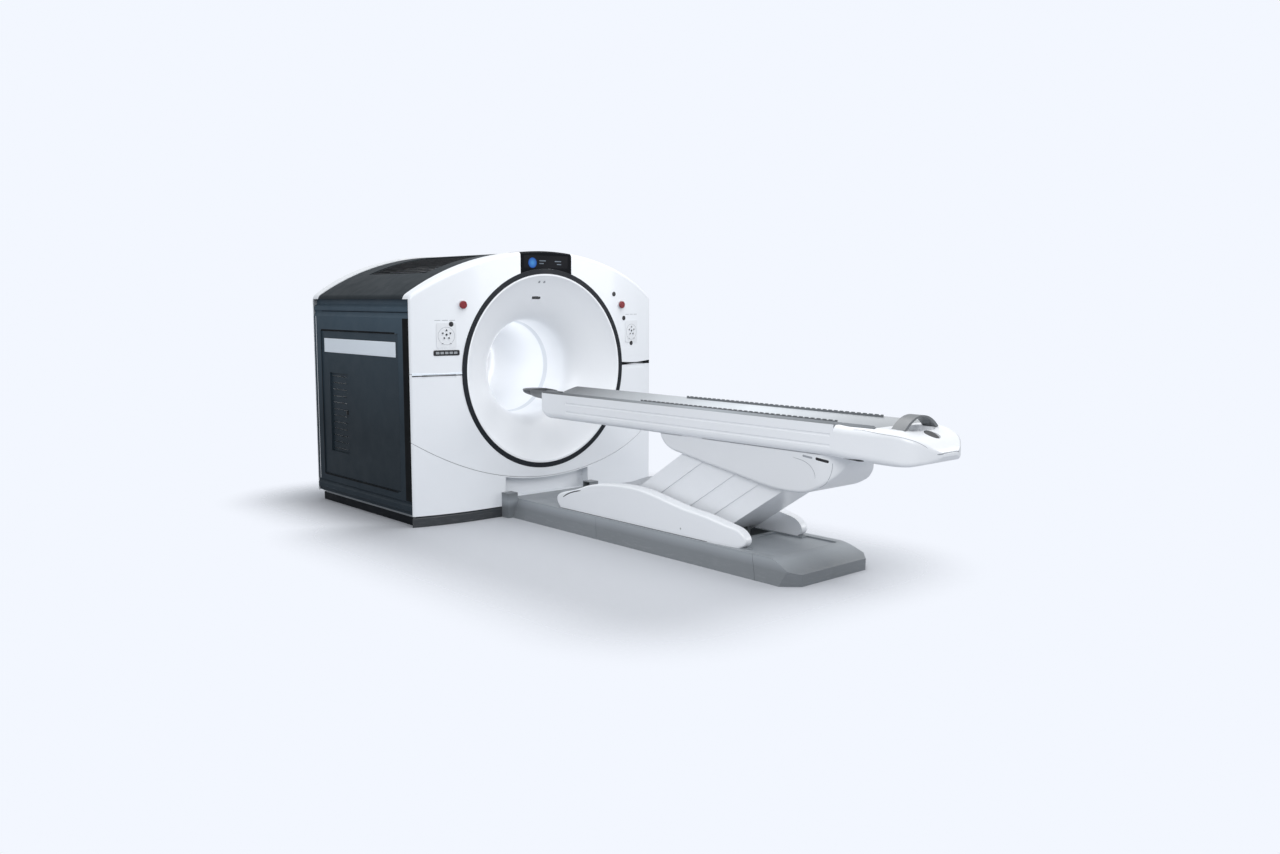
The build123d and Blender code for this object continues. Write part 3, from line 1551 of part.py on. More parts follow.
slope = radians(button_slope)
button_plane = Plane(origin=(0, out(button_place), button_height), x_dir=(1, 0, 0),
                     z_dir=(0, -sin(slope), cos(slope)))
nose_faces = [nose_section(*values) for values in nose_sections]
nose_hollow = [nose_section(place, half - nose_wall, low + nose_wall,
                            min(high - nose_wall, nose_deck), radius - nose_wall)
               for place, half, low, high, radius in nose_sections[:-3]]
with BuildPart() as nose_cover:
    loft(nose_faces)
    loft(nose_hollow, mode=Mode.SUBTRACT)
    extrude(sliding_room, amount=cradle_foot + cradle_gap, mode=Mode.SUBTRACT)
    with BuildSketch(Plane.XY.offset(handle_seat - pocket_drop)):
        with Locations((0, out(handle_place))):
            RectangleRounded(2 * pocket_half, 2 * pocket_half_length, pocket_half_length / 2)
    extrude(amount=housing_half_width, mode=Mode.SUBTRACT)
    for side in (-1, 1):
        block((side * (handle_half_span - 2 * handle_foot),
               side * (handle_half_span + 2 * handle_foot)),
              (out(handle_place - handle_width / 2 - 2), out(handle_place + handle_width / 2 + 2)),
              (handle_seat - handle_pad_gap, handle_seat + beyond), mode=Mode.SUBTRACT)
    with BuildSketch(Plane.XY.offset(nose_deck)):
        with Locations((-handle_half_span, out(handle_place)),
                       (handle_half_span, out(handle_place))):
            Circle(handle_leg_radius + running_fit)
    extrude(amount=housing_half_width, both=True, mode=Mode.SUBTRACT)
    with BuildSketch(button_plane.offset(-button_pocket)):
        Circle(button_radius + 1)
    extrude(amount=housing_half_width, mode=Mode.SUBTRACT)
    with BuildSketch(button_plane.offset(-2 * button_stem)):
        Circle(button_stem_radius + running_fit)
    extrude(amount=housing_half_width, mode=Mode.SUBTRACT)


# Release handle over the pocket, and the round button on the nose's slope
with BuildPart() as release_handle:
    with BuildSketch(Plane.XZ.offset(-out(handle_place) - handle_width / 2)):
        with BuildLine():
            span = handle_half_span + handle_foot
            Spline((-span, handle_seat), (0, handle_seat + handle_rise), (span, handle_seat),
                   tangents=((0.7, 0.7), (0.7, -0.7)))
            Spline((span - 2 * handle_foot, handle_seat),
                   (0, handle_seat + handle_rise - handle_thick),
                   (2 * handle_foot - span, handle_seat), tangents=((-0.7, 0.7), (-0.7, -0.7)))
            Line((span, handle_seat), (span - 2 * handle_foot, handle_seat))
            Line((-span, handle_seat), (2 * handle_foot - span, handle_seat))
        make_face()
    extrude(amount=handle_width)
    with BuildSketch(Plane.XY.offset(handle_seat)):
        with Locations((-handle_half_span, out(handle_place)),
                       (handle_half_span, out(handle_place))):
            Circle(handle_leg_radius)
    extrude(amount=-handle_leg_depth)

with BuildPart() as release_button:
    with BuildSketch(button_plane.offset(button_stand)):
        Circle(button_radius)
    extrude(amount=-button_thick)
    fillet(release_button.faces().sort_by(Axis.Z)[-1].edges(), button_thick / 4)
    with BuildSketch(button_plane.offset(button_stand - button_thick)):
        Circle(button_stem_radius)
    extrude(amount=-button_stem)

# Sliding cradle, a long thin trough with rounded corners
rim_height = table_height + rim_stand
with BuildPart() as cradle:
    with BuildSketch(Plane.XZ.offset(-out(cradle_head))):
        with BuildLine():
            ThreePointArc((-cradle_half_width, rim_height), (0, rim_height - cradle_sag),
                          (cradle_half_width, rim_height))
            Line((cradle_half_width, rim_height), (cradle_half_width, rim_height - cradle_thick))
            ThreePointArc((cradle_half_width, rim_height - cradle_thick),
                          (0, rim_height - cradle_sag - cradle_thick),
                          (-cradle_half_width, rim_height - cradle_thick))
            Line((-cradle_half_width, rim_height - cradle_thick), (-cradle_half_width, rim_height))
        make_face()
    extrude(amount=cradle_foot - cradle_head)
    with BuildSketch() as cradle_plan:
        with Locations((0, out(cradle_foot))):
            Rectangle(2 * (cradle_half_width + beyond), cradle_foot - cradle_head,
                      align=(Align.CENTER, Align.MIN))
        fillet(cradle_plan.vertices().group_by(Axis.Y)[-1], cradle_corner)
    extrude(amount=2 * table_height, mode=Mode.INTERSECT)

# Notched rails for the straps along both rims
with BuildPart() as strap_rails:
    for side in (-1, 1):
        block((side * rail_outer, side * (rail_outer - rail_width)),
              (out(rail_start), out(rail_end)),
              (rim_height - cradle_thick / 2, rim_height + rail_height))
    add(cradle.part, mode=Mode.SUBTRACT)
    with BuildSketch(Plane.YZ):
        with Locations((out((rail_start + rail_end) / 2), rim_height + rail_height)):
            with GridLocations(rail_pitch, 1, int((rail_end - rail_start) / rail_pitch), 1):
                Rectangle(rail_notch, rail_height)
    extrude(amount=cradle_half_width, both=True, mode=Mode.SUBTRACT)

# Head holder: a shallow boat-shaped bowl on a tongue that sits in the cradle's head end
def holder_plan(inset):
    """Plan of the bowl, round toward the bore, moved in by an inset."""
    with BuildSketch() as plan:
        with Locations((0, out(holder_lip[0] + holder_half_width))):
            Circle(holder_half_width - inset)
            Rectangle(2 * (holder_half_width - inset), 2 * holder_reach,
                      align=(Align.CENTER, Align.MAX))
    return plan.sketch


hull = [(out(place), height) for place, height in holder_outline]
lip_end, lip_low, lip_high = holder_lip
with BuildPart() as holder_hull:
    with BuildSketch(Plane.YZ):
        with BuildLine():
            Polyline(*hull, (out(lip_end), lip_low), (out(lip_end), lip_high), close=True)
        make_face()
    extrude(amount=wide, both=True)
    with BuildSketch(Plane.XZ.offset(-front_y - holder_reach)):
        with Locations((0, holder_top)):
            Ellipse(holder_half_width, holder_top - holder_low)
    extrude(amount=2 * holder_reach + cradle_head, mode=Mode.INTERSECT)
    extrude(holder_plan(0), amount=table_height, mode=Mode.INTERSECT)

bowl = [(y, height + holder_wall) for y, height in hull[1:-1]]
with BuildPart() as holder_core:
    with BuildSketch(Plane.YZ):
        with BuildLine():
            Polyline((hull[0][0] - holder_shore, holder_top + 1), *bowl,
                     (hull[-1][0] - holder_rim, holder_top + 1), close=True)
        make_face()
    extrude(amount=holder_half_width, both=True)
    with BuildSketch(Plane.XZ.offset(-front_y - holder_reach)):
        with Locations((0, holder_top)):
            Ellipse(holder_half_width - holder_wall, holder_top - holder_low - holder_wall)
    extrude(amount=2 * holder_reach + cradle_head, mode=Mode.INTERSECT)
    extrude(holder_plan(holder_wall), amount=table_height, mode=Mode.INTERSECT)

with BuildPart() as head_holder:
    add(holder_hull.part)
    block((-tongue_half, tongue_half), (out(tongue_start), out(tongue_end)),
          (tongue_top - holder_wall, tongue_top))
    block((-tongue_half, tongue_half), (out(tongue_end - 2 * tongue_half), out(tongue_end)),
          (rim_height - cradle_sag - 1, tongue_top))
    add(holder_core.part, mode=Mode.SUBTRACT)
    add(cradle.part, mode=Mode.SUBTRACT)

pieces = {
    "front_plinth": front_plinth, "front_cover_upper_left": front_cover_upper_left,
    "front_cover_upper_right": front_cover_upper_right, "front_cover_lower": front_cover_lower,
    "front_cover_apron": front_cover_apron, "ring_trim": ring_trim, "front_funnel": front_funnel,
    "scan_window": scan_window, "bore_liner": bore_liner, "rear_funnel": rear_funnel,
    "rear_cover": rear_cover, "display_bezel": display_bezel, "display_screen": display_screen,
    "control_panel_left": control_panel_left, "control_panel_right": control_panel_right,
    "estop_left": estop_left, "estop_right": estop_right, "side_panel_left": side_panel_left,
    "side_panel_right": side_panel_right, "service_door_left": service_door_left,
    "service_door_right": service_door_right, "door_latch_left": door_latch_left,
    "door_latch_right": door_latch_right, "top_cover": top_cover, "top_vents": top_vents,
    "gantry_base": gantry_base, "gantry_frame": gantry_frame, "rotor_bearing": rotor_bearing,
    "rotor_drum": rotor_drum, "xray_tube": xray_tube, "hv_generator": hv_generator,
    "ct_detector": ct_detector, "slip_ring": slip_ring, "brush_block": brush_block,
    "pet_detector_ring": pet_detector_ring, "drive_motor": drive_motor,
    "drive_pulley": drive_pulley, "drive_belt": drive_belt, "base_cover": base_cover,
    "base_frame": base_frame, "shroud_left": shroud_left, "shroud_right": shroud_right,
    "lift_arm_head": lift_arm_head, "lift_arm_foot": lift_arm_foot,
    "arm_cover_head": arm_cover_head, "arm_cover_foot": arm_cover_foot,
    "arm_cover_upper": arm_cover_upper, "arm_cover_lower": arm_cover_lower,
    "actuator_rod": actuator_rod, "actuator_barrel": actuator_barrel, "housing": housing,
    "housing_head_cap": housing_head_cap, "carriage_frame": carriage_frame, "saddle": saddle,
    "nose_cover": nose_cover, "release_handle": release_handle, "release_button": release_button,
    "cradle": cradle, "strap_rails": strap_rails, "head_holder": head_holder,
}
for name, piece in pieces.items():
    piece.part.label = name
    export_step(piece.part, f"parts/{name}.step")
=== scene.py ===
"""Looks of the ring scanner and its patient table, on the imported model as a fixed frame.

Lengths are in metres. The origin is on the floor below the middle of the gantry, +Y runs into the
bore, +X is to the right seen from the table, and +Z is up. The table lies toward -Y.
"""
import json

import bpy
import numpy as np
from mathutils import Matrix, Vector
from mathutils.bvhtree import BVHTree


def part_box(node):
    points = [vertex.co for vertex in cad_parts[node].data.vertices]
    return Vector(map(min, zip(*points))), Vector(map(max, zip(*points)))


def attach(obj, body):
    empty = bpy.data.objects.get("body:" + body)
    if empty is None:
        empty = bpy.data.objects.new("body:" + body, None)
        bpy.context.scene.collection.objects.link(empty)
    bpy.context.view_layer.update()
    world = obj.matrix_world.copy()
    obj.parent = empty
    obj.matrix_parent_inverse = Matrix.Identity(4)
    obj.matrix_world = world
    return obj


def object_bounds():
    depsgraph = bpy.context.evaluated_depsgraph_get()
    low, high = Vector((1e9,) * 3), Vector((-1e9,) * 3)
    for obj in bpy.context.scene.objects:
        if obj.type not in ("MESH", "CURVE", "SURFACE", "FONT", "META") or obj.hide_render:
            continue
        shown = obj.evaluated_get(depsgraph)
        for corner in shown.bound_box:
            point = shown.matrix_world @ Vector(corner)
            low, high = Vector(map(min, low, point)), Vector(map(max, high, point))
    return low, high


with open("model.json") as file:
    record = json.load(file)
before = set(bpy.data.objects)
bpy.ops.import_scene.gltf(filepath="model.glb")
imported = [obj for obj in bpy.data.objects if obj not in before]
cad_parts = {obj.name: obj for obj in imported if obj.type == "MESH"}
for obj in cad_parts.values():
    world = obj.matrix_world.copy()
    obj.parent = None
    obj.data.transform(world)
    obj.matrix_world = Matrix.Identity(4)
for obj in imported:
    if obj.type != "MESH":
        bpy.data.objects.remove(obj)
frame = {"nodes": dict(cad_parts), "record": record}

bl_info = {
    "name": "Ring scanner looks",
    "version": (1, 0, 0),
    "blender": (4, 5, 0),
    "location": "3D View > Sidebar > Scanner",
    "description": "Finishes, small fittings, stage and camera for a ring scanner and its table",
    "category": "Object",
}

cad_low, cad_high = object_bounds()
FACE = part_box("ring_trim")[0].y + 0.002          # flat middle of the gantry's front
WING_START = 0.600                               # where the front starts to sweep back
WING_SWEEP = 0.080                               # how far it has gone back at the sides
WING_RADIUS = ((cad_high.x - WING_START) ** 2 + WING_SWEEP ** 2) / (2 * WING_SWEEP)
DOOR_FACE = -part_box("service_door_left")[0].x    # outer face of the side doors
SHROUD_FACE = -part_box("shroud_left")[0].x        # outer face of the table's shrouds
BASE_TOP = 0.138                                 # top of the table's base
BORE_HEIGHT = 1.082
KEYPAD_ACROSS, KEYPAD_HEIGHT = 0.868, 1.352      # middle of a keypad, to each side and up
KEYPAD_LIFT = 0.005                              # how far its keys stand off its plane
DOOR_ALONG, DOOR_UP = 0.0155, 0.7965             # middle of the opening of a side door
DOOR_CLEAR = -0.540                              # nearest to the hinge that the open door misses
CAMERA_PLACE = (-4.903, -7.325, 1.600)
CAMERA_TURN = (42.02, 6.753, -0.146)             # yaw to the right, pitch down and roll, in degrees
SENSOR_WIDTH = 36.0                              # of the camera, in mm
FOCAL_SHARE = 1069.04 / 1280                     # focal length as a share of the image's width


def ahead(distance):
    """Y of a place that far in front of the gantry, toward the foot of the table."""
    return FACE - distance


# Surfaces that fittings sit on: each turns places across and up it, and a lift off it, into points

def wing_face(across, up, lift):
    """Swept front: flat, then a round arc seen from above; lift runs along the arc's normal."""
    run = np.maximum(np.abs(across) - WING_START, 0)
    turn = np.arcsin(run / WING_RADIUS) * np.sign(across)
    depth = FACE + WING_RADIUS - np.sqrt(WING_RADIUS ** 2 - run ** 2)
    return np.stack((across + lift * np.sin(turn), depth - lift * np.cos(turn), up), -1)


def flat_face(origin, across_way, up_way):
    """Plane through a point: origin + across * way + up * way + lift * (across way x up way)."""
    start, right, top = (np.array(v, float) for v in (origin, across_way, up_way))
    out = np.cross(right, top)

    def place(across, up, lift):
        return start + across[..., None] * right + up[..., None] * top + lift[..., None] * out
    return place


def keypad_face(side):
    """Plane of a keypad, tangent to the swept front at the keypad's middle."""
    turn = np.arcsin((KEYPAD_ACROSS - WING_START) / WING_RADIUS)
    middle = wing_face(np.array(side * KEYPAD_ACROSS), np.array(KEYPAD_HEIGHT), np.array(0.0))
    return flat_face(middle, (np.cos(turn), side * np.sin(turn), 0), (0, 0, 1))


def funnel_face(across, up, lift):
    """Front funnel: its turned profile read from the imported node; lift runs toward the table."""
    spots = node_points("front_funnel")
    reach = np.hypot(spots[:, 0], spots[:, 2] - BORE_HEIGHT)
    depth = spots[:, 1] - FACE
    bins = np.linspace(0.37, 0.71, 69)
    shallow = np.array([depth[np.abs(reach - b) < 0.006].min(initial=0.3) for b in bins])
    radius = np.hypot(across, up - BORE_HEIGHT)
    y = FACE + np.interp(radius, bins, shallow)
    return np.stack((across, y - lift, up), -1)


def raised(face, by, up=0.0):
    """The same surface, with its lift counted from by, and its height from up below its origin."""
    return lambda across, height, lift: face(across, height - up, lift + by)


def node_points(name):
    """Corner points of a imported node, as an array."""
    mesh = frame["nodes"][name].data
    spots = np.empty(len(mesh.vertices) * 3)
    mesh.vertices.foreach_get("co", spots)
    return spots.reshape(-1, 3)


def settle(name, path):
    """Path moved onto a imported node's nearest surface; gives its places and the surface normals."""
    skin = BVHTree.FromObject(frame["nodes"][name], bpy.context.evaluated_depsgraph_get())
    found = [skin.find_nearest(Vector(spot)) for spot in np.asarray(path).tolist()]
    spots = np.array([hit[0] for hit in found])
    normals = np.array([hit[1] for hit in found])
    spread = np.ones(7) / 7
    smooth = np.stack([np.convolve(np.pad(n, 3, mode="edge"), spread, "valid")
                       for n in normals.T], 1)
    return spots, smooth / np.linalg.norm(smooth, axis=1, keepdims=True)


# Outlines and profiles

def rounded(corners, radius, count=48):
    """Outline round a convex polygon: in each direction, its furthest corner plus a radius."""
    angle = (np.arange(count) + 0.5) / count * 2 * np.pi
    way = np.stack((np.cos(angle), np.sin(angle)))
    return np.asarray(corners)[np.argmax(np.asarray(corners) @ way, axis=0)] + radius * way.T


def box_outline(half_across, half_up, radius, count=48):
    """Rounded rectangle about its middle."""
    a, b = half_across - radius, half_up - radius
    return rounded(((a, b), (-a, b), (-a, -b), (a, -b)), radius, count)


def round_outline(radius, count=32):
    """Circle about its middle."""
    return rounded(((0, 0),), radius, count)


def arrow_outline(size, turn):
    """Triangle with soft corners, pointing at an angle."""
    angle = turn + np.array((0, 2, 4)) * np.pi / 3
    return rounded(np.stack((np.cos(angle), np.sin(angle)), 1) * size * 0.8, size * 0.12, 24)


def plate_rows(outline, thick, edge, sunk=0.0005):
    """Closed plate: the outline at the back, up its side, round its edge and over the top."""
    turn = np.linspace(0, np.pi / 2, 4)
    inward = np.append(0, edge * (1 - np.cos(turn)))
    height = np.append(-sunk, thick - edge + edge * np.sin(turn))
    centre = outline.mean(0)
    share = 1 - inward / np.abs(outline - centre).min(1).max(initial=1e-4).clip(1e-4)
    return [(centre + (outline - centre) * s, h) for s, h in zip(share, height)]


# Meshes

def ring_mesh(name, rings, looks, body, smooth=True):
    """Skin over a stack of closed rings, each end closed to its ring's middle."""
    rings = np.asarray(rings, float)
    rows, columns = rings.shape[:2]
    spots = np.concatenate((rings.reshape(-1, 3), rings[:1].mean(1), rings[-1:].mean(1)))
    row, column = np.meshgrid(np.arange(rows - 1), np.arange(columns), indexing="ij")
    after = (column + 1) % columns
    quads = np.stack((row * columns + column, row * columns + after,
                      (row + 1) * columns + after, (row + 1) * columns + column), -1)
    quads = quads.reshape(-1, 4)
    edge = np.arange(columns)
    then = (edge + 1) % columns
    first = np.stack((then, edge, np.full(columns, rows * columns)), 1)
    base = (rows - 1) * columns
    last = np.stack((base + edge, base + then, np.full(columns, rows * columns + 1)), 1)
    faces = [tuple(f) for f in (*quads.tolist(), *first.tolist(), *last.tolist())]
    mesh = bpy.data.meshes.new(name)
    mesh.from_pydata(spots.tolist(), [], faces)
    a, b, c = (spots[quads[:, k]] for k in (0, 1, 2))
    d = spots[quads[:, 3]]
    fans = [[spots[fan[:, k]] for k in range(3)] for fan in (first, last)]
    volume = sum((p * np.cross(q, r)).sum() for p, q, r in ((a, b, c), (a, c, d), *fans))
    if volume < 0:
        mesh.flip_normals()
    mesh.polygons.foreach_set("use_smooth", np.full(len(faces), smooth))
    mesh.materials.append(looks)
    piece = bpy.data.objects.new(name, mesh)
    bpy.context.scene.collection.objects.link(piece)
    if smooth:
        mesh.set_sharp_from_angle(angle=np.radians(38))
    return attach(piece, body)


def stud(name, face, centre, outline, thick, looks, body, edge=0.0004, dish=0.0, smooth=True):
    """Small plate or button on a surface; dish lowers or raises its middle."""
    rows = plate_rows(outline, thick, edge)
    inner, height = rows[-1]
    middle = inner.mean(0)
    rows += [(middle + (inner - middle) * s, height + dish * (1 - s * s)) for s in (0.8, 0.5, 0.2)]
    flat = np.array([outline for outline, _ in rows]) + np.asarray(centre)
    lift = np.array([np.full(len(outline), h) for _, h in rows])
    return ring_mesh(name, face(flat[..., 0], flat[..., 1], lift), looks, body, smooth)


def bead(name, path, outward, half_width, half_height, looks, body, columns=10, taper=0.0):
    """Rounded strip along a path: an ellipse square to it, wide across and low along outward.

    taper is the share of the path, at each end, over which the ellipse grows from a point.
    """
    path = np.asarray(path, float)
    outward = np.broadcast_to(np.asarray(outward, float), path.shape)
    along = np.gradient(path, axis=0)
    along /= np.linalg.norm(along, axis=1, keepdims=True)
    side = np.cross(along, outward)
    side /= np.linalg.norm(side, axis=1, keepdims=True)
    up = np.cross(side, along)
    share = np.linspace(0, 1, len(path))
    grow = np.ones(len(path))
    if taper:
        near = np.clip(np.minimum(share, 1 - share) / taper, 0.02, 1)
        grow = np.sqrt(1 - (1 - near) ** 2)
    angle = np.linspace(0, 2 * np.pi, columns, endpoint=False)
    ring = (side[:, None] * (np.cos(angle) * half_width)[None, :, None]
            + up[:, None] * (np.sin(angle) * half_height)[None, :, None])
    return ring_mesh(name, path[:, None] + ring * grow[:, None, None], looks, body)


def smooth_path(points, count=40):
    """Even places along a cubic through the points (each coordinate against the run so far)."""
    points = np.asarray(points, float)
    run = np.append(0, np.cumsum(np.linalg.norm(np.diff(points, axis=0), axis=1)))
    order = len(points) - 1 if len(points) < 5 else 4
    place = np.linspace(0, run[-1], count)
    return np.stack([np.polyval(np.polyfit(run, c, order), place) for c in points.T], 1)


# Shader nodes

def fill(tree, made, inputs):
    """Sets or links the sockets of a node."""
    for key, value in inputs.items():
        if isinstance(value, bpy.types.NodeSocket):
            tree.links.new(value, made.inputs[key])
        else:
            made.inputs[key].default_value = value
    return made


def put(tree, kind, inputs=None, **options):
    """Adds a node, sets its options, and sets or links its sockets."""
    made = tree.nodes.new(kind)
    for option, value in options.items():
        setattr(made, option, value)
    return fill(tree, made, inputs or {})


def maths(tree, operation, *values):
    """Result of a math node on values or sockets."""
    return put(tree, "ShaderNodeMath", dict(enumerate(values)), operation=operation).outputs[0]


def vector_maths(tree, operation, *values):
    """Result of a vector math node: a value for a product or a length, else a vector."""
    made = put(tree, "ShaderNodeVectorMath", dict(enumerate(values)), operation=operation)
    single = operation in ("DOT_PRODUCT", "DISTANCE", "LENGTH")
    return made.outputs["Value" if single else "Vector"]


def noise(tree, place, scale, detail, rough, distortion=0.0):
    """Value of a noise texture."""
    return put(tree, "ShaderNodeTexNoise", {"Vector": place, "Scale": scale, "Detail": detail,
                                            "Roughness": rough, "Distortion": distortion}
               ).outputs["Fac"]


def start_group(name, inputs, outputs):
    """Empty shader group with named sockets; gives its tree, input sockets and output node."""
    group = bpy.data.node_groups.new(name, "ShaderNodeTree")
    for label, (kind, value) in inputs.items():
        made = group.interface.new_socket(label, in_out="INPUT", socket_type="NodeSocket" + kind)
        if value is not None:
            made.default_value = value
    for label, kind in outputs.items():
        group.interface.new_socket(label, in_out="OUTPUT", socket_type="NodeSocket" + kind)
    return group, group.nodes.new("NodeGroupInput").outputs, group.nodes.new("NodeGroupOutput")


def blend_colours(tree, share, under, over):
    """Mixes two colours by a share."""
    return put(tree, "ShaderNodeMix", {0: share, 6: under, 7: over}, data_type="RGBA").outputs[2]


def scaled(tree, value, low, high, to_low, to_high):
    """Maps a value from one range to another, held at its ends."""
    return put(tree, "ShaderNodeMapRange", {0: value, 1: low, 2: high, 3: to_low, 4: to_high}
               ).outputs[0]


def tone_drift_group():
    """Slow cloudy change of tone: colour times a value that drifts about one with soft noise."""
    group, given, out = start_group(
        "Tone drift", {"Vector": ("Vector", None), "Colour": ("Color", (1, 1, 1, 1)),
                       "Spread": ("Float", 0.05), "Scale": ("Float", 3.0)}, {"Colour": "Color"})
    cloud = noise(group, given["Vector"], given["Scale"], 3.0, 0.45)
    low = maths(group, "SUBTRACT", 1.0, given["Spread"])
    high = maths(group, "MULTIPLY_ADD", given["Spread"], 0.5, 1.0)
    value = scaled(group, cloud, 0.3, 0.7, low, high)
    shade = put(group, "ShaderNodeVectorMath", {0: given["Colour"], 3: value}, operation="SCALE")
    group.links.new(shade.outputs[0], out.inputs["Colour"])
    return group


def fine_grain_group():
    """Moulded or sprayed surface: small bumps, and roughness that changes in smears."""
    group, given, out = start_group(
        "Fine grain", {"Vector": ("Vector", None), "Scale": ("Float", 300.0),
                       "Smoothest": ("Float", 0.3), "Roughest": ("Float", 0.4)},
        {"Height": "Float", "Roughness": "Float"})
    bumps = noise(group, given["Vector"], given["Scale"], 2.0, 0.6)
    smears = noise(group, given["Vector"], 7.0, 5.0, 0.6, 0.4)
    rough = scaled(group, smears, 0.35, 0.68, given["Smoothest"], given["Roughest"])
    group.links.new(bumps, out.inputs["Height"])
    group.links.new(rough, out.inputs["Roughness"])
    return group


def brushed_group():
    """Brushed or turned metal: noise stretched a hundred times along one way."""
    group, given, out = start_group(
        "Brushed lines", {"Vector": ("Vector", None), "Stretch": ("Vector", (4.0, 400.0, 400.0)),
                          "Smoothest": ("Float", 0.25), "Roughest": ("Float", 0.45)},
        {"Height": "Float", "Roughness": "Float"})
    pulled = vector_maths(group, "MULTIPLY", given["Vector"], given["Stretch"])
    lines = noise(group, pulled, 1.0, 4.0, 0.7)
    rough = scaled(group, lines, 0.3, 0.7, given["Smoothest"], given["Roughest"])
    group.links.new(lines, out.inputs["Height"])
    group.links.new(rough, out.inputs["Roughness"])
    return group


def scuff_group():
    """Shoe and mop marks: patches and thin streaks that fade out above a height."""
    group, given, out = start_group(
        "Floor scuffs", {"Vector": ("Vector", None), "Colour": ("Color", (1, 1, 1, 1)),
                         "Scuff": ("Color", (0.5, 0.5, 0.5, 1)), "Reach": ("Float", 0.12),
                         "Amount": ("Float", 0.3)}, {"Colour": "Color"})
    height = put(group, "ShaderNodeSeparateXYZ", {0: given["Vector"]}).outputs["Z"]
    near = scaled(group, height, 0.0, given["Reach"], 1.0, 0.0)
    pulled = vector_maths(group, "MULTIPLY", given["Vector"], (3.0, 3.0, 26.0))
    marks = noise(group, pulled, 4.0, 6.0, 0.65)
    mask = scaled(group, marks, 0.52, 0.72, 0.0, 1.0)
    share = maths(group, "MULTIPLY", maths(group, "MULTIPLY", mask, near), given["Amount"])
    group.links.new(blend_colours(group, share, given["Colour"], given["Scuff"]),
                    out.inputs["Colour"])
    return group


def dust_group():
    """Settled dust: a paler colour on faces that look up, broken by soft noise."""
    group, given, out = start_group(
        "Settled dust", {"Vector": ("Vector", None), "Colour": ("Color", (1, 1, 1, 1)),
                         "Dust": ("Color", (0.5, 0.5, 0.48, 1)), "Amount": ("Float", 0.1)},
        {"Colour": "Color", "Mask": "Float"})
    normal = put(group, "ShaderNodeNewGeometry").outputs["Normal"]
    up = put(group, "ShaderNodeSeparateXYZ", {0: normal}).outputs["Z"]
    level = scaled(group, up, 0.55, 1.0, 0.0, 1.0)
    broken = scaled(group, noise(group, given["Vector"], 9.0, 6.0, 0.7), 0.35, 0.7, 0.35, 1.0)
    share = maths(group, "MULTIPLY", maths(group, "MULTIPLY", level, broken), given["Amount"])
    group.links.new(blend_colours(group, share, given["Colour"], given["Dust"]),
                    out.inputs["Colour"])
    group.links.new(share, out.inputs["Mask"])
    return group


def length_fade_group():
    """Painted light and shade along one way: a factor at a middle place, another a distance from it.
    """
    group, given, out = start_group(
        "Length fade", {"Vector": ("Vector", None), "Colour": ("Color", (1, 1, 1, 1)),
                        "Way": ("Vector", (0.0, 0.0, 1.0)), "Middle": ("Float", 0.0),
                        "Half": ("Float", 1.0), "Middle tone": ("Float", 1.0),
                        "End tone": ("Float", 1.0)}, {"Colour": "Color"})
    along = vector_maths(group, "DOT_PRODUCT", given["Vector"], given["Way"])
    far = maths(group, "ABSOLUTE", maths(group, "SUBTRACT", along, given["Middle"]))
    value = scaled(group, far, 0.0, given["Half"], given["Middle tone"], given["End tone"])
    shade = put(group, "ShaderNodeVectorMath", {0: given["Colour"], 3: value}, operation="SCALE")
    group.links.new(shade.outputs[0], out.inputs["Colour"])
    return group


def edge_wear_group():
    """Rubbed edges: where a bevelled normal leaves the true one, broken by noise."""
    group, given, out = start_group(
        "Rubbed edges", {"Vector": ("Vector", None), "Colour": ("Color", (1, 1, 1, 1)),
                         "Bare": ("Color", (0.6, 0.6, 0.6, 1)), "Radius": ("Float", 0.003),
                         "Amount": ("Float", 0.5)}, {"Colour": "Color", "Mask": "Float"})
    soft = put(group, "ShaderNodeBevel", {"Radius": given["Radius"]}, samples=4).outputs[0]
    hard = put(group, "ShaderNodeNewGeometry").outputs["Normal"]
    same = vector_maths(group, "DOT_PRODUCT", soft, hard)
    edge = scaled(group, same, 0.97, 0.8, 0.0, 1.0)
    broken = scaled(group, noise(group, given["Vector"], 55.0, 5.0, 0.7), 0.4, 0.62, 0.0, 1.0)
    share = maths(group, "MULTIPLY", maths(group, "MULTIPLY", edge, broken), given["Amount"])
    group.links.new(blend_colours(group, share, given["Colour"], given["Bare"]),
                    out.inputs["Colour"])
    group.links.new(share, out.inputs["Mask"])
    return group


def shared_group(name):
    """The shader group of that name, built the first time it is asked for."""
    makers = {"Tone drift": tone_drift_group, "Fine grain": fine_grain_group,
              "Brushed lines": brushed_group, "Floor scuffs": scuff_group,
              "Settled dust": dust_group, "Rubbed edges": edge_wear_group,
              "Length fade": length_fade_group}
    return bpy.data.node_groups.get(name) or makers[name]()


def place_group(tree, name, inputs):
    """A shared group in a material, with this material's own values."""
    return put(tree, "ShaderNodeGroup", inputs, node_tree=shared_group(name)).outputs


def solid(colour):
    """Colour with full alpha."""
    return (*tuple(colour)[:3], 1.0)


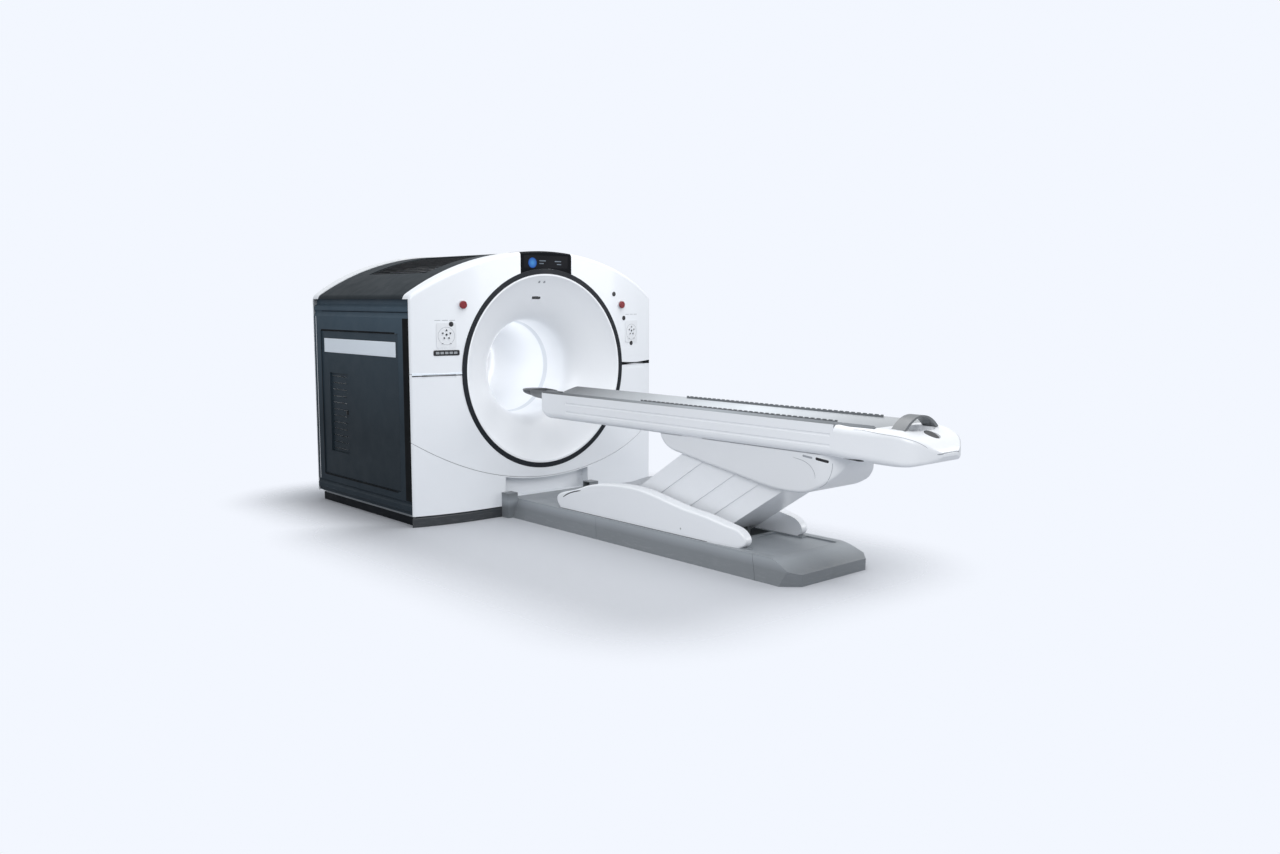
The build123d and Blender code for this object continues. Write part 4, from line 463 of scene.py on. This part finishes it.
def finish(name, colour, rough=(0.3, 0.4), metallic=0.0, coat=0.0, drift=(0.04, 3.0),
           grain=(320.0, 0.00006), brushed=None, dust=0.0, scuff=0.0, wear=None, fade=None,
           shine=0.5):
    """Material of one finish, from the shared groups, under a name of its own."""
    material = bpy.data.materials.new("finish_" + name)
    material.use_nodes = True
    tree = material.node_tree
    shader = tree.nodes["Principled BSDF"]
    place = put(tree, "ShaderNodeTexCoord").outputs["Object"]

    def step(group, tone, **values):
        return place_group(tree, group, {"Vector": place, "Colour": tone, **values})["Colour"]

    tone = step("Tone drift", solid(colour), Spread=drift[0], Scale=drift[1])
    ends = {"Vector": place, "Smoothest": rough[0], "Roughest": rough[1]}
    if brushed:
        surface = place_group(tree, "Brushed lines", {"Stretch": brushed, **ends})
    else:
        surface = place_group(tree, "Fine grain", {"Scale": grain[0], **ends})
    # painted light and shade: the tone made lighter or darker along one way
    if fade:
        labels = ("Way", "Middle", "Half", "Middle tone", "End tone")
        tone = step("Length fade", tone, **dict(zip(labels, fade)))
    if wear:
        tone = step("Rubbed edges", tone, Bare=solid(wear[0]), Radius=wear[1], Amount=wear[2])
    if scuff:
        tone = step("Floor scuffs", tone, Scuff=solid((0.34, 0.35, 0.36)), Amount=scuff)
    if dust:
        tone = step("Settled dust", tone, Dust=solid((0.42, 0.43, 0.44)), Amount=dust)
    bump = put(tree, "ShaderNodeBump", {"Height": surface["Height"], "Strength": 0.6,
                                        "Distance": grain[1]})
    fill(tree, shader, {"Base Color": tone, "Roughness": surface["Roughness"],
                        "Normal": bump.outputs[0], "Metallic": metallic,
                        "Coat Weight": coat, "Coat Roughness": 0.08,
                        "Specular IOR Level": shine})
    return material


# Settings that a user would change

def colour_setting(name, description, default):
    """Colour property of three channels."""
    return bpy.props.FloatVectorProperty(name=name, description=description, default=default,
                                         subtype="COLOR", size=3, min=0.0, max=1.0)


def length_setting(name, description, default, most=1.0):
    """Length property in metres."""
    return bpy.props.FloatProperty(name=name, description=description, default=default, min=0.0,
                                   max=most, subtype="DISTANCE", unit="LENGTH", precision=4)


def light_setting(name, description, default):
    """Power of a light, in watts."""
    return bpy.props.FloatProperty(name=name, description=description, default=default, min=0.0,
                                   unit="POWER")


class ScannerColours(bpy.types.PropertyGroup):
    """Colours of the scanner's finishes."""
    covers: colour_setting("Covers", "White of the gantry's covers", (0.80, 0.825, 0.86))
    table: colour_setting("Table", "White of the table's covers", (0.83, 0.85, 0.88))
    bore: colour_setting("Bore", "White of the funnel and the bore", (0.84, 0.86, 0.89))
    sides: colour_setting("Sides", "Slate of the side panels", (0.026, 0.041, 0.055))
    doors: colour_setting("Doors", "Slate of the side doors", (0.024, 0.036, 0.047))
    top: colour_setting("Top", "Near black of the top cover", (0.014, 0.020, 0.025))
    ring: colour_setting("Ring", "Slate of the ring round the funnel", (0.012, 0.015, 0.020))
    base: colour_setting("Base", "Grey of the table's base", (0.17, 0.185, 0.20))
    pad: colour_setting("Cradle", "Grey of the cradle's trough", (0.26, 0.275, 0.29))
    stop: colour_setting("Stop buttons", "Red of the emergency buttons", (0.20, 0.010, 0.016))
    lamp: colour_setting("Display lamp", "Blue light on the display", (0.008, 0.09, 0.50))


class ScannerFittings(bpy.types.PropertyGroup):
    """Sizes of the small fittings."""
    badge_thick: length_setting("Badge thickness", "Thickness of the plate on each door", 0.0025)
    mark_radius: length_setting("Sensor radius", "Radius of the black sensors", 0.018)
    seam_width: length_setting("Seam width", "Half width of the drawn seams", 0.0014)
    screw_radius: length_setting("Screw radius", "Radius of the screw heads", 0.006)


class ScannerStage(bpy.types.PropertyGroup):
    """Floor, light and camera."""
    backdrop: colour_setting("Backdrop", "Colour behind the object", (0.896, 0.930, 1.0))
    # the floor's grey near the object, with its reach, makes a painted shadow round the scanner
    floor: colour_setting("Floor", "Colour of the floor near the object", (0.46, 0.475, 0.505))
    reach: length_setting("Floor reach", "How far the floor shows round the object", 1.0, 10.0)
    sky: bpy.props.FloatProperty(name="Sky", description="Strength of the light from all round",
                                 default=0.64, min=0.0, soft_max=5.0)
    overhead: light_setting("Overhead light", "Power of the big soft light above", 190.0)
    key: light_setting("Key light", "Power of the light from the front left", 170.0)
    fill: light_setting("Fill light", "Power of the light from the front right", 75.0)
    bore: light_setting("Bore light", "Power of the light behind the bore; half of it is lit "
                        "inside", 4.0)


# Finishes

def make_finishes(tones):
    """Every finish by the record's slot name, and those of the small fittings."""
    white = {"drift": (0.015, 1.3), "grain": (420.0, 0.00003)}
    bare_steel = (0.42, 0.42, 0.43)

    def row(*values, **options):
        return values, options

    rows = {
        "gantry_white": row(tones.covers, (0.28, 0.32), coat=0.25, dust=0.05, **white),
        "bore_white": row(tones.bore, (0.30, 0.40), **white),
        "table_white": row(tones.table, (0.28, 0.36), coat=0.2, dust=0.05, **white),
        "window_film": row((0.66, 0.69, 0.73), (0.42, 0.5), drift=(0.03, 5.0)),
        "ring_slate": row(tones.ring, (0.36, 0.48), shine=0.2),
        # painted light: the side panels' slate lighter round a height of 1.5 m and darker towards the
        # floor
        "slate_panel": row(tones.sides, (0.42, 0.54), shine=0.12, drift=(0.10, 1.4),
                           grain=(260.0, 0.00006), dust=0.05,
                           fade=((0, 0, 1), 1.5, 0.8, 2.1, 0.75)),
        # painted light: the doors' slate lighter towards their top and darker towards the floor
        "slate_door": row(tones.doors, (0.40, 0.54), shine=0.12, drift=(0.10, 1.2),
                          grain=(260.0, 0.00006), scuff=0.12,
                          fade=((0, 0, 1), 1.4, 0.8, 1.7, 0.8)),
        "slate_top": row(tones.top, (0.5, 0.6), shine=0.12, drift=(0.12, 2.0),
                         grain=(200.0, 0.00005), dust=0.03),
        "dark_grille": row((0.016, 0.018, 0.021), (0.5, 0.62), dust=0.04, shine=0.2),
        "display_black": row((0.004, 0.005, 0.007), (0.3, 0.4), shine=0.04,
                             grain=(200.0, 0.00001)),
        "screen_black": row((0.002, 0.003, 0.006), (0.2, 0.3), shine=0.06,
                            grain=(200.0, 0.000005)),
        "plinth_grey": row((0.034, 0.038, 0.043), (0.36, 0.5), scuff=0.2, drift=(0.06, 2.5)),
        # painted highlight: the base's top and its bevel up to 1.65 times lighter than its sides
        "base_grey": row(tones.base, (0.38, 0.52), scuff=0.30, dust=0.15, drift=(0.06, 2.2),
                         grain=(240.0, 0.0001), fade=((0, 0, 1), 0.125, 0.05, 1.65, 1.0)),
        "keypad_white": row((0.74, 0.76, 0.79), (0.42, 0.52)),
        "button_red": row(tones.stop, (0.22, 0.32), coat=0.2),
        "latch_black": row((0.015, 0.015, 0.017), (0.28, 0.4),
                           wear=((0.30, 0.30, 0.31), 0.0012, 0.35)),
        "frame_paint": row((0.27, 0.29, 0.31), (0.45, 0.6), dust=0.15, grain=(180.0, 0.00015),
                           wear=(bare_steel, 0.004, 0.3)),
        "machined_steel": row((0.55, 0.56, 0.57), (0.22, 0.4), metallic=1.0,
                              brushed=(300.0, 6.0, 300.0)),
        "rotor_alloy": row((0.66, 0.67, 0.69), (0.3, 0.46), metallic=1.0,
                           brushed=(260.0, 8.0, 260.0)),
        "unit_grey": row((0.32, 0.34, 0.36), (0.4, 0.55), dust=0.1, grain=(190.0, 0.0001),
                         wear=(bare_steel, 0.003, 0.3)),
        "belt_black": row((0.018, 0.018, 0.018), (0.6, 0.8), grain=(500.0, 0.0002)),
        # painted reflection: the trough up to 2.3 times lighter in its middle and darker towards the
        # head and the foot
        "cradle_grey": row(tones.pad, (0.36, 0.46), drift=(0.04, 4.0), grain=(380.0, 0.0001),
                           fade=((0, 1, 0), ahead(1.9), 1.75, 2.3, 0.5)),
        "rail_dark": row((0.13, 0.14, 0.15), (0.36, 0.5), wear=((0.30, 0.31, 0.32), 0.0015, 0.3)),
        "holder_dark": row((0.045, 0.05, 0.055), (0.4, 0.55), grain=(420.0, 0.0002),
                           wear=((0.2, 0.2, 0.21), 0.002, 0.3)),
        "handle_grey": row((0.15, 0.16, 0.17), (0.32, 0.45),
                           wear=((0.36, 0.37, 0.38), 0.002, 0.4)),
        "button_black": row((0.01, 0.01, 0.012), (0.14, 0.26), coat=0.5),
        "badge_silver": row((0.86, 0.93, 1.0), (0.3, 0.46), metallic=0.2,
                            brushed=(5.0, 5.0, 700.0), drift=(0.05, 2.0)),
        "glyph_black": row((0.012, 0.012, 0.015), (0.3, 0.45)),
        "label_grey": row((0.30, 0.32, 0.34), (0.45, 0.6)),
        # dark of real seams and slots, and of painted shadows under the shrouds and on the nose
        "seam_and_shadow_dark": row((0.035, 0.038, 0.042), (0.6, 0.75)),
        "seam_grey": row((0.34, 0.36, 0.39), (0.5, 0.65)),
        "glass_dark": row((0.008, 0.008, 0.010), (0.05, 0.12), coat=1.0, grain=(200.0, 0.000005)),
        "screw_steel": row((0.50, 0.51, 0.52), (0.24, 0.4), metallic=1.0),
        # painted shade: the table's white made darker, and a little darker still towards the saddle's
        # underside
        "saddle_shaded_white": row([0.93 * tone for tone in tones.table], (0.28, 0.36), coat=0.2, **white,
                            fade=((0, 0, 1), 0.742, 0.25, 1.0, 0.95)),
        # painted shade: near black for the shade in the gap under the side panels, where the gantry's
        # base shows
        "foot_shade_black": row((0.006, 0.008, 0.011), (0.5, 0.65), scuff=0.04, shine=0.1),
        "band_black": row((0.003, 0.004, 0.005), (0.5, 0.65), shine=0.08),
    }
    return {name: finish(name, *values, **options) for name, (values, options) in rows.items()}


def light_finish(name, middle, radius, core, rim, strength):
    """Lit print on the display: bright in its middle, falling off to its rim by distance."""
    material = bpy.data.materials.new(name)
    material.use_nodes = True
    tree = material.node_tree
    shader = tree.nodes["Principled BSDF"]
    place = put(tree, "ShaderNodeTexCoord").outputs["Object"]
    far = vector_maths(tree, "DISTANCE", place, middle)
    share = scaled(tree, far, 0.15 * radius, radius, 0.0, 1.0)
    fill(tree, shader, {"Emission Color": blend_colours(tree, share, solid(core), solid(rim)),
                        "Emission Strength": strength, "Base Color": (0.004, 0.006, 0.01, 1),
                        "Roughness": 0.2, "Specular IOR Level": 0.06})
    return material


OWN_LOOKS = {"saddle": "saddle_shaded_white", "gantry_base": "foot_shade_black"}   # nodes with finishes of their own, with painted shade: the saddle darker, the gantry's base near black


class SCANNER_OT_finishes(bpy.types.Operator):
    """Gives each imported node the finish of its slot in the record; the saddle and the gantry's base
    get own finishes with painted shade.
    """
    bl_idname = "scanner.finishes"
    bl_label = "Finish the packed parts"

    def execute(self, context):
        looks = make_finishes(context.scene.scanner_colours)
        for row in frame["record"]["subparts"]:
            chosen = OWN_LOOKS.get(row["node"], row["material_slot"])
            for holder in frame["nodes"][row["node"]].material_slots:
                holder.material = looks[chosen]
        return {"FINISHED"}


def look(name):
    """A finish that has been made."""
    return bpy.data.materials["finish_" + name]


class SCANNER_OT_badges(bpy.types.Operator):
    """Bare brushed plate in the shallow recess of each side door."""
    bl_idname = "scanner.badges"
    bl_label = "Door badges"

    def execute(self, context):
        sizes = context.scene.scanner_fittings
        along, up = FACE + 0.852, 1.2475
        for side, body in ((-1, "service_door_left"), (1, "service_door_right")):
            face = flat_face((side * (DOOR_FACE - 0.002), 0, 0), (0, side, 0), (0, 0, 1))
            outline = box_outline(0.557, 0.054, 0.004)
            stud(f"badge_{body.split('_')[-1]}", face, (side * along, up), outline,
                 sizes.badge_thick, look("badge_silver"), body, edge=0.0012)
        return {"FINISHED"}


class SCANNER_OT_controls(bpy.types.Operator):
    """Signs on the keys, keypad frames, black sensors, the dark strip and label lines."""
    bl_idname = "scanner.controls"
    bl_label = "Control details"

    def execute(self, context):
        sizes = context.scene.scanner_fittings
        black, grey = look("glyph_black"), look("label_grey")
        key_circle, key_up = 0.030, 0.006            # radius and middle of the ring of five keys
        for side, word in ((-1, "left"), (1, "right")):
            face = keypad_face(side)
            signs = [(f"key_sign_centre_{word}", (0, key_up), round_outline(0.0078))]
            for index, angle in enumerate(np.pi / 2 + np.arange(5) * 2 * np.pi / 5):
                spot = (key_circle * np.cos(angle), key_up + key_circle * np.sin(angle))
                signs.append((f"key_sign_{index}_{word}", spot, arrow_outline(0.0098, angle)))
            for index, place in enumerate((-0.031, 0.031)):
                signs.append((f"key_bar_{index}_{word}", (place, -0.056),
                              box_outline(0.006, 0.0022, 0.001)))
            for name, spot, outline in signs:
                stud(name, raised(face, KEYPAD_LIFT), spot, outline, 0.0005, black, "gantry",
                     edge=0.0002)
            angle = np.linspace(0, 2 * np.pi, 73)
            circle = face(0.062 * np.cos(angle), -0.004 + 0.062 * np.sin(angle),
                          np.full(73, 0.002))
            bead(f"keypad_circle_{word}", circle, (0, -1, 0), 0.0012, 0.0006, look("seam_grey"),
                 "gantry")
        marks = {"sensor_left": (-0.831, 1.430), "sensor_right_high": (0.667, 1.650),
                 "sensor_right_middle": (0.778, 1.459), "sensor_right_low": (0.867, 1.258)}
        for name, spot in marks.items():
            stud(name, wing_face, spot, round_outline(sizes.mark_radius), 0.003, black, "gantry",
                 edge=0.0012, dish=0.0008)
        strip_up, strip_thick = 1.229, 0.0045
        strip = raised(keypad_face(-1), -0.003, KEYPAD_HEIGHT)
        stud("status_strip", strip, (0, strip_up), box_outline(0.098, 0.019, 0.009), strip_thick,
             look("glass_dark"), "gantry", edge=0.0012)
        for index in range(5):
            stud(f"status_window_{index}", raised(strip, strip_thick),
                 (-0.068 + 0.034 * index, strip_up), box_outline(0.013, 0.008, 0.003), 0.0004,
                 grey, "gantry", edge=0.0002)
        for side, word, start, stop, height in ((-1, "left", 0.80, 0.965, 1.458),
                                                (1, "right", 0.80, 0.95, 1.489)):
            for index in range(3):
                first = start + (stop - start) * index / 3
                across = side * np.linspace(first, first + (stop - start) / 3 - 0.012, 12)
                line = wing_face(across, np.full(12, height), np.full(12, 0.0001))
                bead(f"label_line_{index}_{word}", line, (0, -1, 0), 0.0016, 0.0005, grey,
                     "gantry")
        return {"FINISHED"}


class SCANNER_OT_display(bpy.types.Operator):
    """Round blue lamp and plain readout bars on the display."""
    bl_idname = "scanner.display"
    bl_label = "Display"

    def execute(self, context):
        face = flat_face((0, FACE + 0.001, 0), (1, 0, 0), (0, 0, 1))
        middle = (-0.128, 1.876)
        colour = context.scene.scanner_colours.lamp
        glow = light_finish("lamp_glow", (middle[0], FACE, middle[1]), 0.040,
                            (0.08, 0.36, 0.85), colour, 0.7)
        stud("display_lamp", face, middle, round_outline(0.038), 0.0006, glow, "gantry",
             edge=0.0003)
        pale = light_finish("readout_glow", (0.05, FACE, 1.885), 0.2, (0.25, 0.30, 0.36),
                            (0.10, 0.12, 0.15), 0.8)
        for index, (across, up, half) in enumerate(((-0.035, 1.892, 0.030), (-0.045, 1.872, 0.020),
                                                    (0.110, 1.890, 0.030), (0.120, 1.868, 0.020))):
            stud(f"display_readout_{index}", face, (across, up), box_outline(half, 0.0035, 0.001),
                 0.0005, pale, "gantry", edge=0.0002)
        return {"FINISHED"}


class SCANNER_OT_bore(bpy.types.Operator):
    """Laser window and small studs in the funnel."""
    bl_idname = "scanner.bore"
    bl_label = "Bore marks"

    def execute(self, context):
        window = flat_face((-0.027, FACE + 0.112, 1.622), (1, 0, 0), (0, -0.5, 0.866))
        stud("laser_window", window, (0, -0.004), box_outline(0.052, 0.011, 0.0105), 0.004,
             look("glass_dark"), "gantry", edge=0.001)
        for index, place in enumerate((-0.041, 0.007)):
            stud(f"funnel_stud_{index}", funnel_face, (place, 1.736), round_outline(0.0085), 0.002,
                 look("label_grey"), "gantry", edge=0.001)
        return {"FINISHED"}


class SCANNER_OT_table_top(bpy.types.Operator):
    """Seams and slots of the nose and the saddle, and a painted shadow on the nose's underside,
    settled onto their surfaces.
    """
    bl_idname = "scanner.table_top"
    bl_label = "Table top details"

    def execute(self, context):
        sizes = context.scene.scanner_fittings
        for side, word in ((-1, "left"), (1, "right")):
            lines = {
                "nose_seam": ("nose_cover", 0.0014, 0.0012, "seam_grey", 0.05, (
                    (0.247, 3.025, 0.920), (0.246, 3.12, 0.917), (0.244, 3.22, 0.911),
                    (0.239, 3.34, 0.897), (0.221, 3.36, 0.895), (0.206, 3.38, 0.890),
                    (0.193, 3.40, 0.880), (0.181, 3.42, 0.868), (0.157, 3.44, 0.848))),
                # painted shadow: a dark patch on the nose's underside where the saddle's end shades
                # it
                "nose_shadow": ("nose_cover", 0.013, 0.0008, "seam_and_shadow_dark", 0.5, (
                    (0.200, 2.935, 0.742), (0.222, 3.02, 0.744), (0.236, 3.10, 0.750))),
                "saddle_slot_grey": ("saddle", 0.006, 0.0009, "seam_grey", 0.06, (
                    (0.222, 2.671, 0.7325), (0.222, 2.741, 0.7265))),
                "saddle_slot_black": ("saddle", 0.008, 0.0009, "glyph_black", 0.06, (
                    (0.222, 2.764, 0.7265), (0.215, 2.80, 0.7205), (0.200, 2.84, 0.7125))),
                "saddle_seam": ("saddle", sizes.seam_width, 0.001, "seam_grey", 0.05, (
                    (0.19, 2.858, 0.706), (0.19, 2.856, 0.670), (0.195, 2.846, 0.630),
                    (0.20, 2.822, 0.590), (0.21, 2.79, 0.556))),
                "saddle_lip": ("saddle", sizes.seam_width, 0.001, "seam_grey", 0.2, (
                    (0.222, 2.600, 0.716), (0.222, 2.675, 0.704), (0.222, 2.730, 0.678),
                    (0.222, 2.757, 0.645), (0.222, 2.763, 0.612))),
            }
            for name, (node, half_width, half_height, tint, taper, points) in lines.items():
                path = smooth_path([(side * x, ahead(d), z) for x, d, z in points], 60)
                path, outward = settle(node, path)
                bead(f"{name}_{word}", path, outward, half_width, half_height, look(tint),
                     "carriage", taper=taper)
        across = np.linspace(-0.11, 0.09, 40)
        path, outward = settle("nose_cover", np.stack((across, np.full(40, ahead(3.470)),
                                                       np.full(40, 0.814)), 1))
        bead("nose_slot", path, outward, 0.0035, 0.0008, look("seam_grey"), "carriage", taper=0.1)
        return {"FINISHED"}


class SCANNER_OT_sides(bpy.types.Operator):
    """Black bands, door gaskets and trim lines on the sides, and the bars in the front's seam, with
    painted shade under the left bar.
    """
    bl_idname = "scanner.sides"
    bl_label = "Side and seam details"

    def execute(self, context):
        plane = -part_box("side_panel_left")[0].x - 0.004      # the panel's flat middle
        half_along, half_up = 0.602, 0.569                   # of the gasket round a door
        run = np.linspace(0, 1, 30)
        for side, word in ((-1, "left"), (1, "right")):
            face = flat_face((side * plane, 0, 0), (0, side, 0), (0, 0, 1))
            stud(f"side_band_{word}", face, (-side * 0.692, 0.825),
                 box_outline(0.042, 0.645, 0.004), 0.0012, look("band_black"), "gantry",
                 edge=0.0005)
            corners = box_outline(half_along, half_up, 0.012, 200)
            near = DOOR_ALONG - DOOR_CLEAR
            around = np.array(((near, half_up), *corners[corners[:, 0] < 0], (near, -half_up)))
            path = np.stack((np.full(len(around), side * plane), DOOR_ALONG - around[:, 0],
                             around[:, 1] + DOOR_UP), 1)
            bead(f"door_gasket_{word}", path, (side, 0, 0), 0.0055, 0.0014, look("band_black"),
                 "gantry")
            path = np.stack((np.full(30, side * plane), 0.61 - 1.336 * run, np.full(30, 1.503)), 1)
            path, outward = settle(f"side_panel_{word}", path)
            bead(f"top_joint_{word}", path, outward, 0.003, 0.0012, look("band_black"), "gantry")
            path = np.stack((np.full(30, side * plane), np.full(30, 0.700), 0.18 + 1.29 * run), 1)
            bead(f"rear_edge_{word}", path, (side, 0, 0), 0.003, 0.0012, look("gantry_white"),
                 "gantry")
        bars = {"seam_bar_left": (-0.9255, 0.1905, 0.009, 1.083, "badge_silver"),
                # painted shade: a black strip under the left silver bar
                "seam_bar_left_shade": (-0.9255, 0.1905, 0.0035, 1.070, "band_black"),
                "seam_bar_right": (0.920, 0.196, 0.0135, 1.096, "band_black")}
        for name, (across, half, tall, height, tint) in bars.items():
            outline = box_outline(half, tall, 0.002, 96)
            stud(name, wing_face, (across, height), outline, 0.0014, look(tint), "gantry",
                 edge=0.0005)
        return {"FINISHED"}


class SCANNER_OT_base_details(bpy.types.Operator):
    """Dark lines of painted shadow under the shrouds, their slots and screws."""
    bl_idname = "scanner.base_details"
    bl_label = "Base and shroud details"

    def execute(self, context):
        sizes = context.scene.scanner_fittings
        proud = SHROUD_FACE + 0.0002
        run = np.linspace(0.575, 2.02, 60)
        for side, word in ((-1, "left"), (1, "right")):
            # painted shadow: a dark line along the base's top under each shroud's edge
            path = np.stack((np.full(60, side * proud), ahead(run),
                             np.full(60, BASE_TOP + 0.0012)), 1)
            bead(f"shroud_shadow_line_{word}", path, (side, 0, 0), 0.0014, 0.001, look("seam_and_shadow_dark"),
                 "gantry")
            slot = smooth_path([(side * proud, ahead(d), z) for d, z in
                                ((0.594, 0.217), (0.64, 0.243), (0.71, 0.270), (0.793, 0.290))])
            bead(f"shroud_slot_{word}", slot, (side, 0, 0), 0.004, 0.0008, look("seam_and_shadow_dark"),
                 "gantry", taper=0.2)
            face = flat_face((side * SHROUD_FACE, 0, 0), (0, side, 0), (0, 0, 1))
            stud(f"shroud_screw_{word}", face, (side * ahead(1.788), 0.183),
                 round_outline(sizes.screw_radius), 0.0018, look("screw_steel"), "gantry",
                 edge=0.0008, dish=-0.001)
        return {"FINISHED"}


# Stage

def stage_object(name, data):
    """Links an object that isn't part of the scanner."""
    made = bpy.data.objects.new(name, data)
    bpy.context.scene.collection.objects.link(made)
    return made


def fade_distance(tree, place, middle, half):
    """Distance from a rectangle on the floor: how far a place lies past its half sizes."""
    offset = vector_maths(tree, "ABSOLUTE", vector_maths(tree, "SUBTRACT", place, middle))
    past = vector_maths(tree, "SUBTRACT", offset, half)
    return vector_maths(tree, "LENGTH", vector_maths(tree, "MAXIMUM", past, (0, 0, 0)))


def floor_finish(settings):
    """Pale floor with a painted shadow: grey round the gantry and left of the table, fading into the
    backdrop with distance, for the camera only.
    """
    material = bpy.data.materials.new("studio_floor")
    material.use_nodes = True
    tree = material.node_tree
    shader = tree.nodes["Principled BSDF"]
    fill(tree, shader, {"Base Color": solid(settings.floor), "Roughness": 0.7,
                        "Specular IOR Level": 0.2})
    place = put(tree, "ShaderNodeTexCoord").outputs["Object"]
    # painted shadow: the floor's grey shows round the gantry and round a rectangle shifted to the
    # left of the table
    gantry = fade_distance(tree, place, (0, 0, 0), (0.95, 0.7, 1))
    table = fade_distance(tree, place, (-0.45, ahead(1.2), 0), (0.75, 1.25, 1))
    near = maths(tree, "MINIMUM", gantry, table)
    fade = put(tree, "ShaderNodeMapRange", {0: near, 1: 0.1, 2: settings.reach, 3: 0.0, 4: 1.0},
               interpolation_type="SMOOTHSTEP").outputs[0]
    seen = put(tree, "ShaderNodeLightPath").outputs["Is Camera Ray"]
    share = maths(tree, "MULTIPLY", fade, seen)
    clear = put(tree, "ShaderNodeBsdfTransparent").outputs[0]
    mixed = put(tree, "ShaderNodeMixShader", {0: share, 1: shader.outputs[0], 2: clear})
    tree.links.new(mixed.outputs[0], tree.nodes["Material Output"].inputs["Surface"])
    return material


class SCANNER_OT_stage(bpy.types.Operator):
    """Pale floor, backdrop, soft lights and the camera."""
    bl_idname = "scanner.stage"
    bl_label = "Stage, light and camera"

    def execute(self, context):
        scene = context.scene
        settings = scene.scanner_stage
        angle = np.linspace(0, 2 * np.pi, 96, endpoint=False)
        rim = np.stack((30 * np.cos(angle), 30 * np.sin(angle), np.zeros(96)), 1)
        mesh = bpy.data.meshes.new("studio_floor")
        mesh.from_pydata(rim.tolist(), [], [tuple(range(96))])
        mesh.materials.append(floor_finish(settings))
        stage_object("studio_floor", mesh)

        world = bpy.data.worlds.new("studio")
        scene.world = world
        world.use_nodes = True
        tree = world.node_tree
        tree.nodes.clear()
        seen = put(tree, "ShaderNodeLightPath").outputs["Is Camera Ray"]
        back = put(tree, "ShaderNodeBackground", {0: solid(settings.backdrop), 1: 1.0}).outputs[0]
        light = put(tree, "ShaderNodeBackground", {0: (0.93, 0.96, 1.0, 1), 1: settings.sky})
        both = put(tree, "ShaderNodeMixShader", {0: seen, 1: light.outputs[0], 2: back})
        put(tree, "ShaderNodeOutputWorld", {0: both.outputs[0]})

        for name, place, aim, size, power in (
                ("soft_overhead", (0.6, -1.6, 5.2), (0.2, -1.6, 0), 5.0, settings.overhead),
                ("soft_key", (-4.6, -6.4, 4.4), (0, -1.4, 0.9), 3.6, settings.key),
                ("soft_fill", (4.2, -6.2, 2.6), (0.4, -1.2, 0.8), 3.0, settings.fill),
                ("bore_back", (0, 1.30, 1.15), (0, -0.5, 1.05), 0.7, settings.bore),
                ("bore_middle", (0, -0.20, 1.20), None, 0.2, settings.bore / 2)):
            lamp = bpy.data.lights.new(name, "AREA" if aim else "POINT")
            lamp.energy = power
            holder = stage_object(name, lamp)
            holder.location = place
            holder.visible_camera = False
            if aim:
                lamp.shape, lamp.size = "DISK", size
                way = Vector(aim) - Vector(place)
                holder.rotation_euler = way.to_track_quat("-Z", "Y").to_euler()
            else:
                lamp.shadow_soft_size = size

        camera = bpy.data.cameras.new("camera")
        camera.sensor_width, camera.lens = SENSOR_WIDTH, FOCAL_SHARE * SENSOR_WIDTH
        camera.clip_end = 200
        yaw, pitch, roll = np.radians(CAMERA_TURN)
        turn = (Matrix.Rotation(-yaw, 4, "Z") @ Matrix.Rotation(np.pi / 2 - pitch, 4, "X")
                @ Matrix.Rotation(-roll, 4, "Z"))
        holder = stage_object("camera", camera)
        holder.matrix_world = Matrix.Translation(CAMERA_PLACE) @ turn
        scene.camera = holder
        scene.view_settings.view_transform = "Standard"
        return {"FINISHED"}


class SCANNER_PT_panel(bpy.types.Panel):
    """Lists the steps and settings."""
    bl_idname = "SCANNER_PT_panel"
    bl_label = "Ring scanner"
    bl_space_type = "VIEW_3D"
    bl_region_type = "UI"
    bl_category = "Scanner"

    def draw(self, context):
        for step in STEPS:
            self.layout.operator(step.bl_idname)
        for group in GROUPS:
            settings = getattr(context.scene, group)
            for name in settings.__annotations__:
                self.layout.prop(settings, name)


STEPS = (SCANNER_OT_finishes, SCANNER_OT_badges, SCANNER_OT_controls, SCANNER_OT_display,
         SCANNER_OT_bore, SCANNER_OT_table_top, SCANNER_OT_base_details, SCANNER_OT_sides,
         SCANNER_OT_stage)
GROUPS = {"scanner_colours": ScannerColours, "scanner_fittings": ScannerFittings,
          "scanner_stage": ScannerStage}
CLASSES = (*GROUPS.values(), *STEPS, SCANNER_PT_panel)


def register():
    """Registers the classes and puts the settings on the scene."""
    for kind in CLASSES:
        bpy.utils.register_class(kind)
    for name, kind in GROUPS.items():
        setattr(bpy.types.Scene, name, bpy.props.PointerProperty(type=kind))


def unregister():
    """Takes the settings and the classes away again."""
    for name in GROUPS:
        delattr(bpy.types.Scene, name)
    for kind in reversed(CLASSES):
        bpy.utils.unregister_class(kind)


def main():
    """Runs every step."""
    register()
    for step in STEPS:
        getattr(bpy.ops.scanner, step.bl_idname.split(".")[1])()


if __name__ == "__main__":
    main()
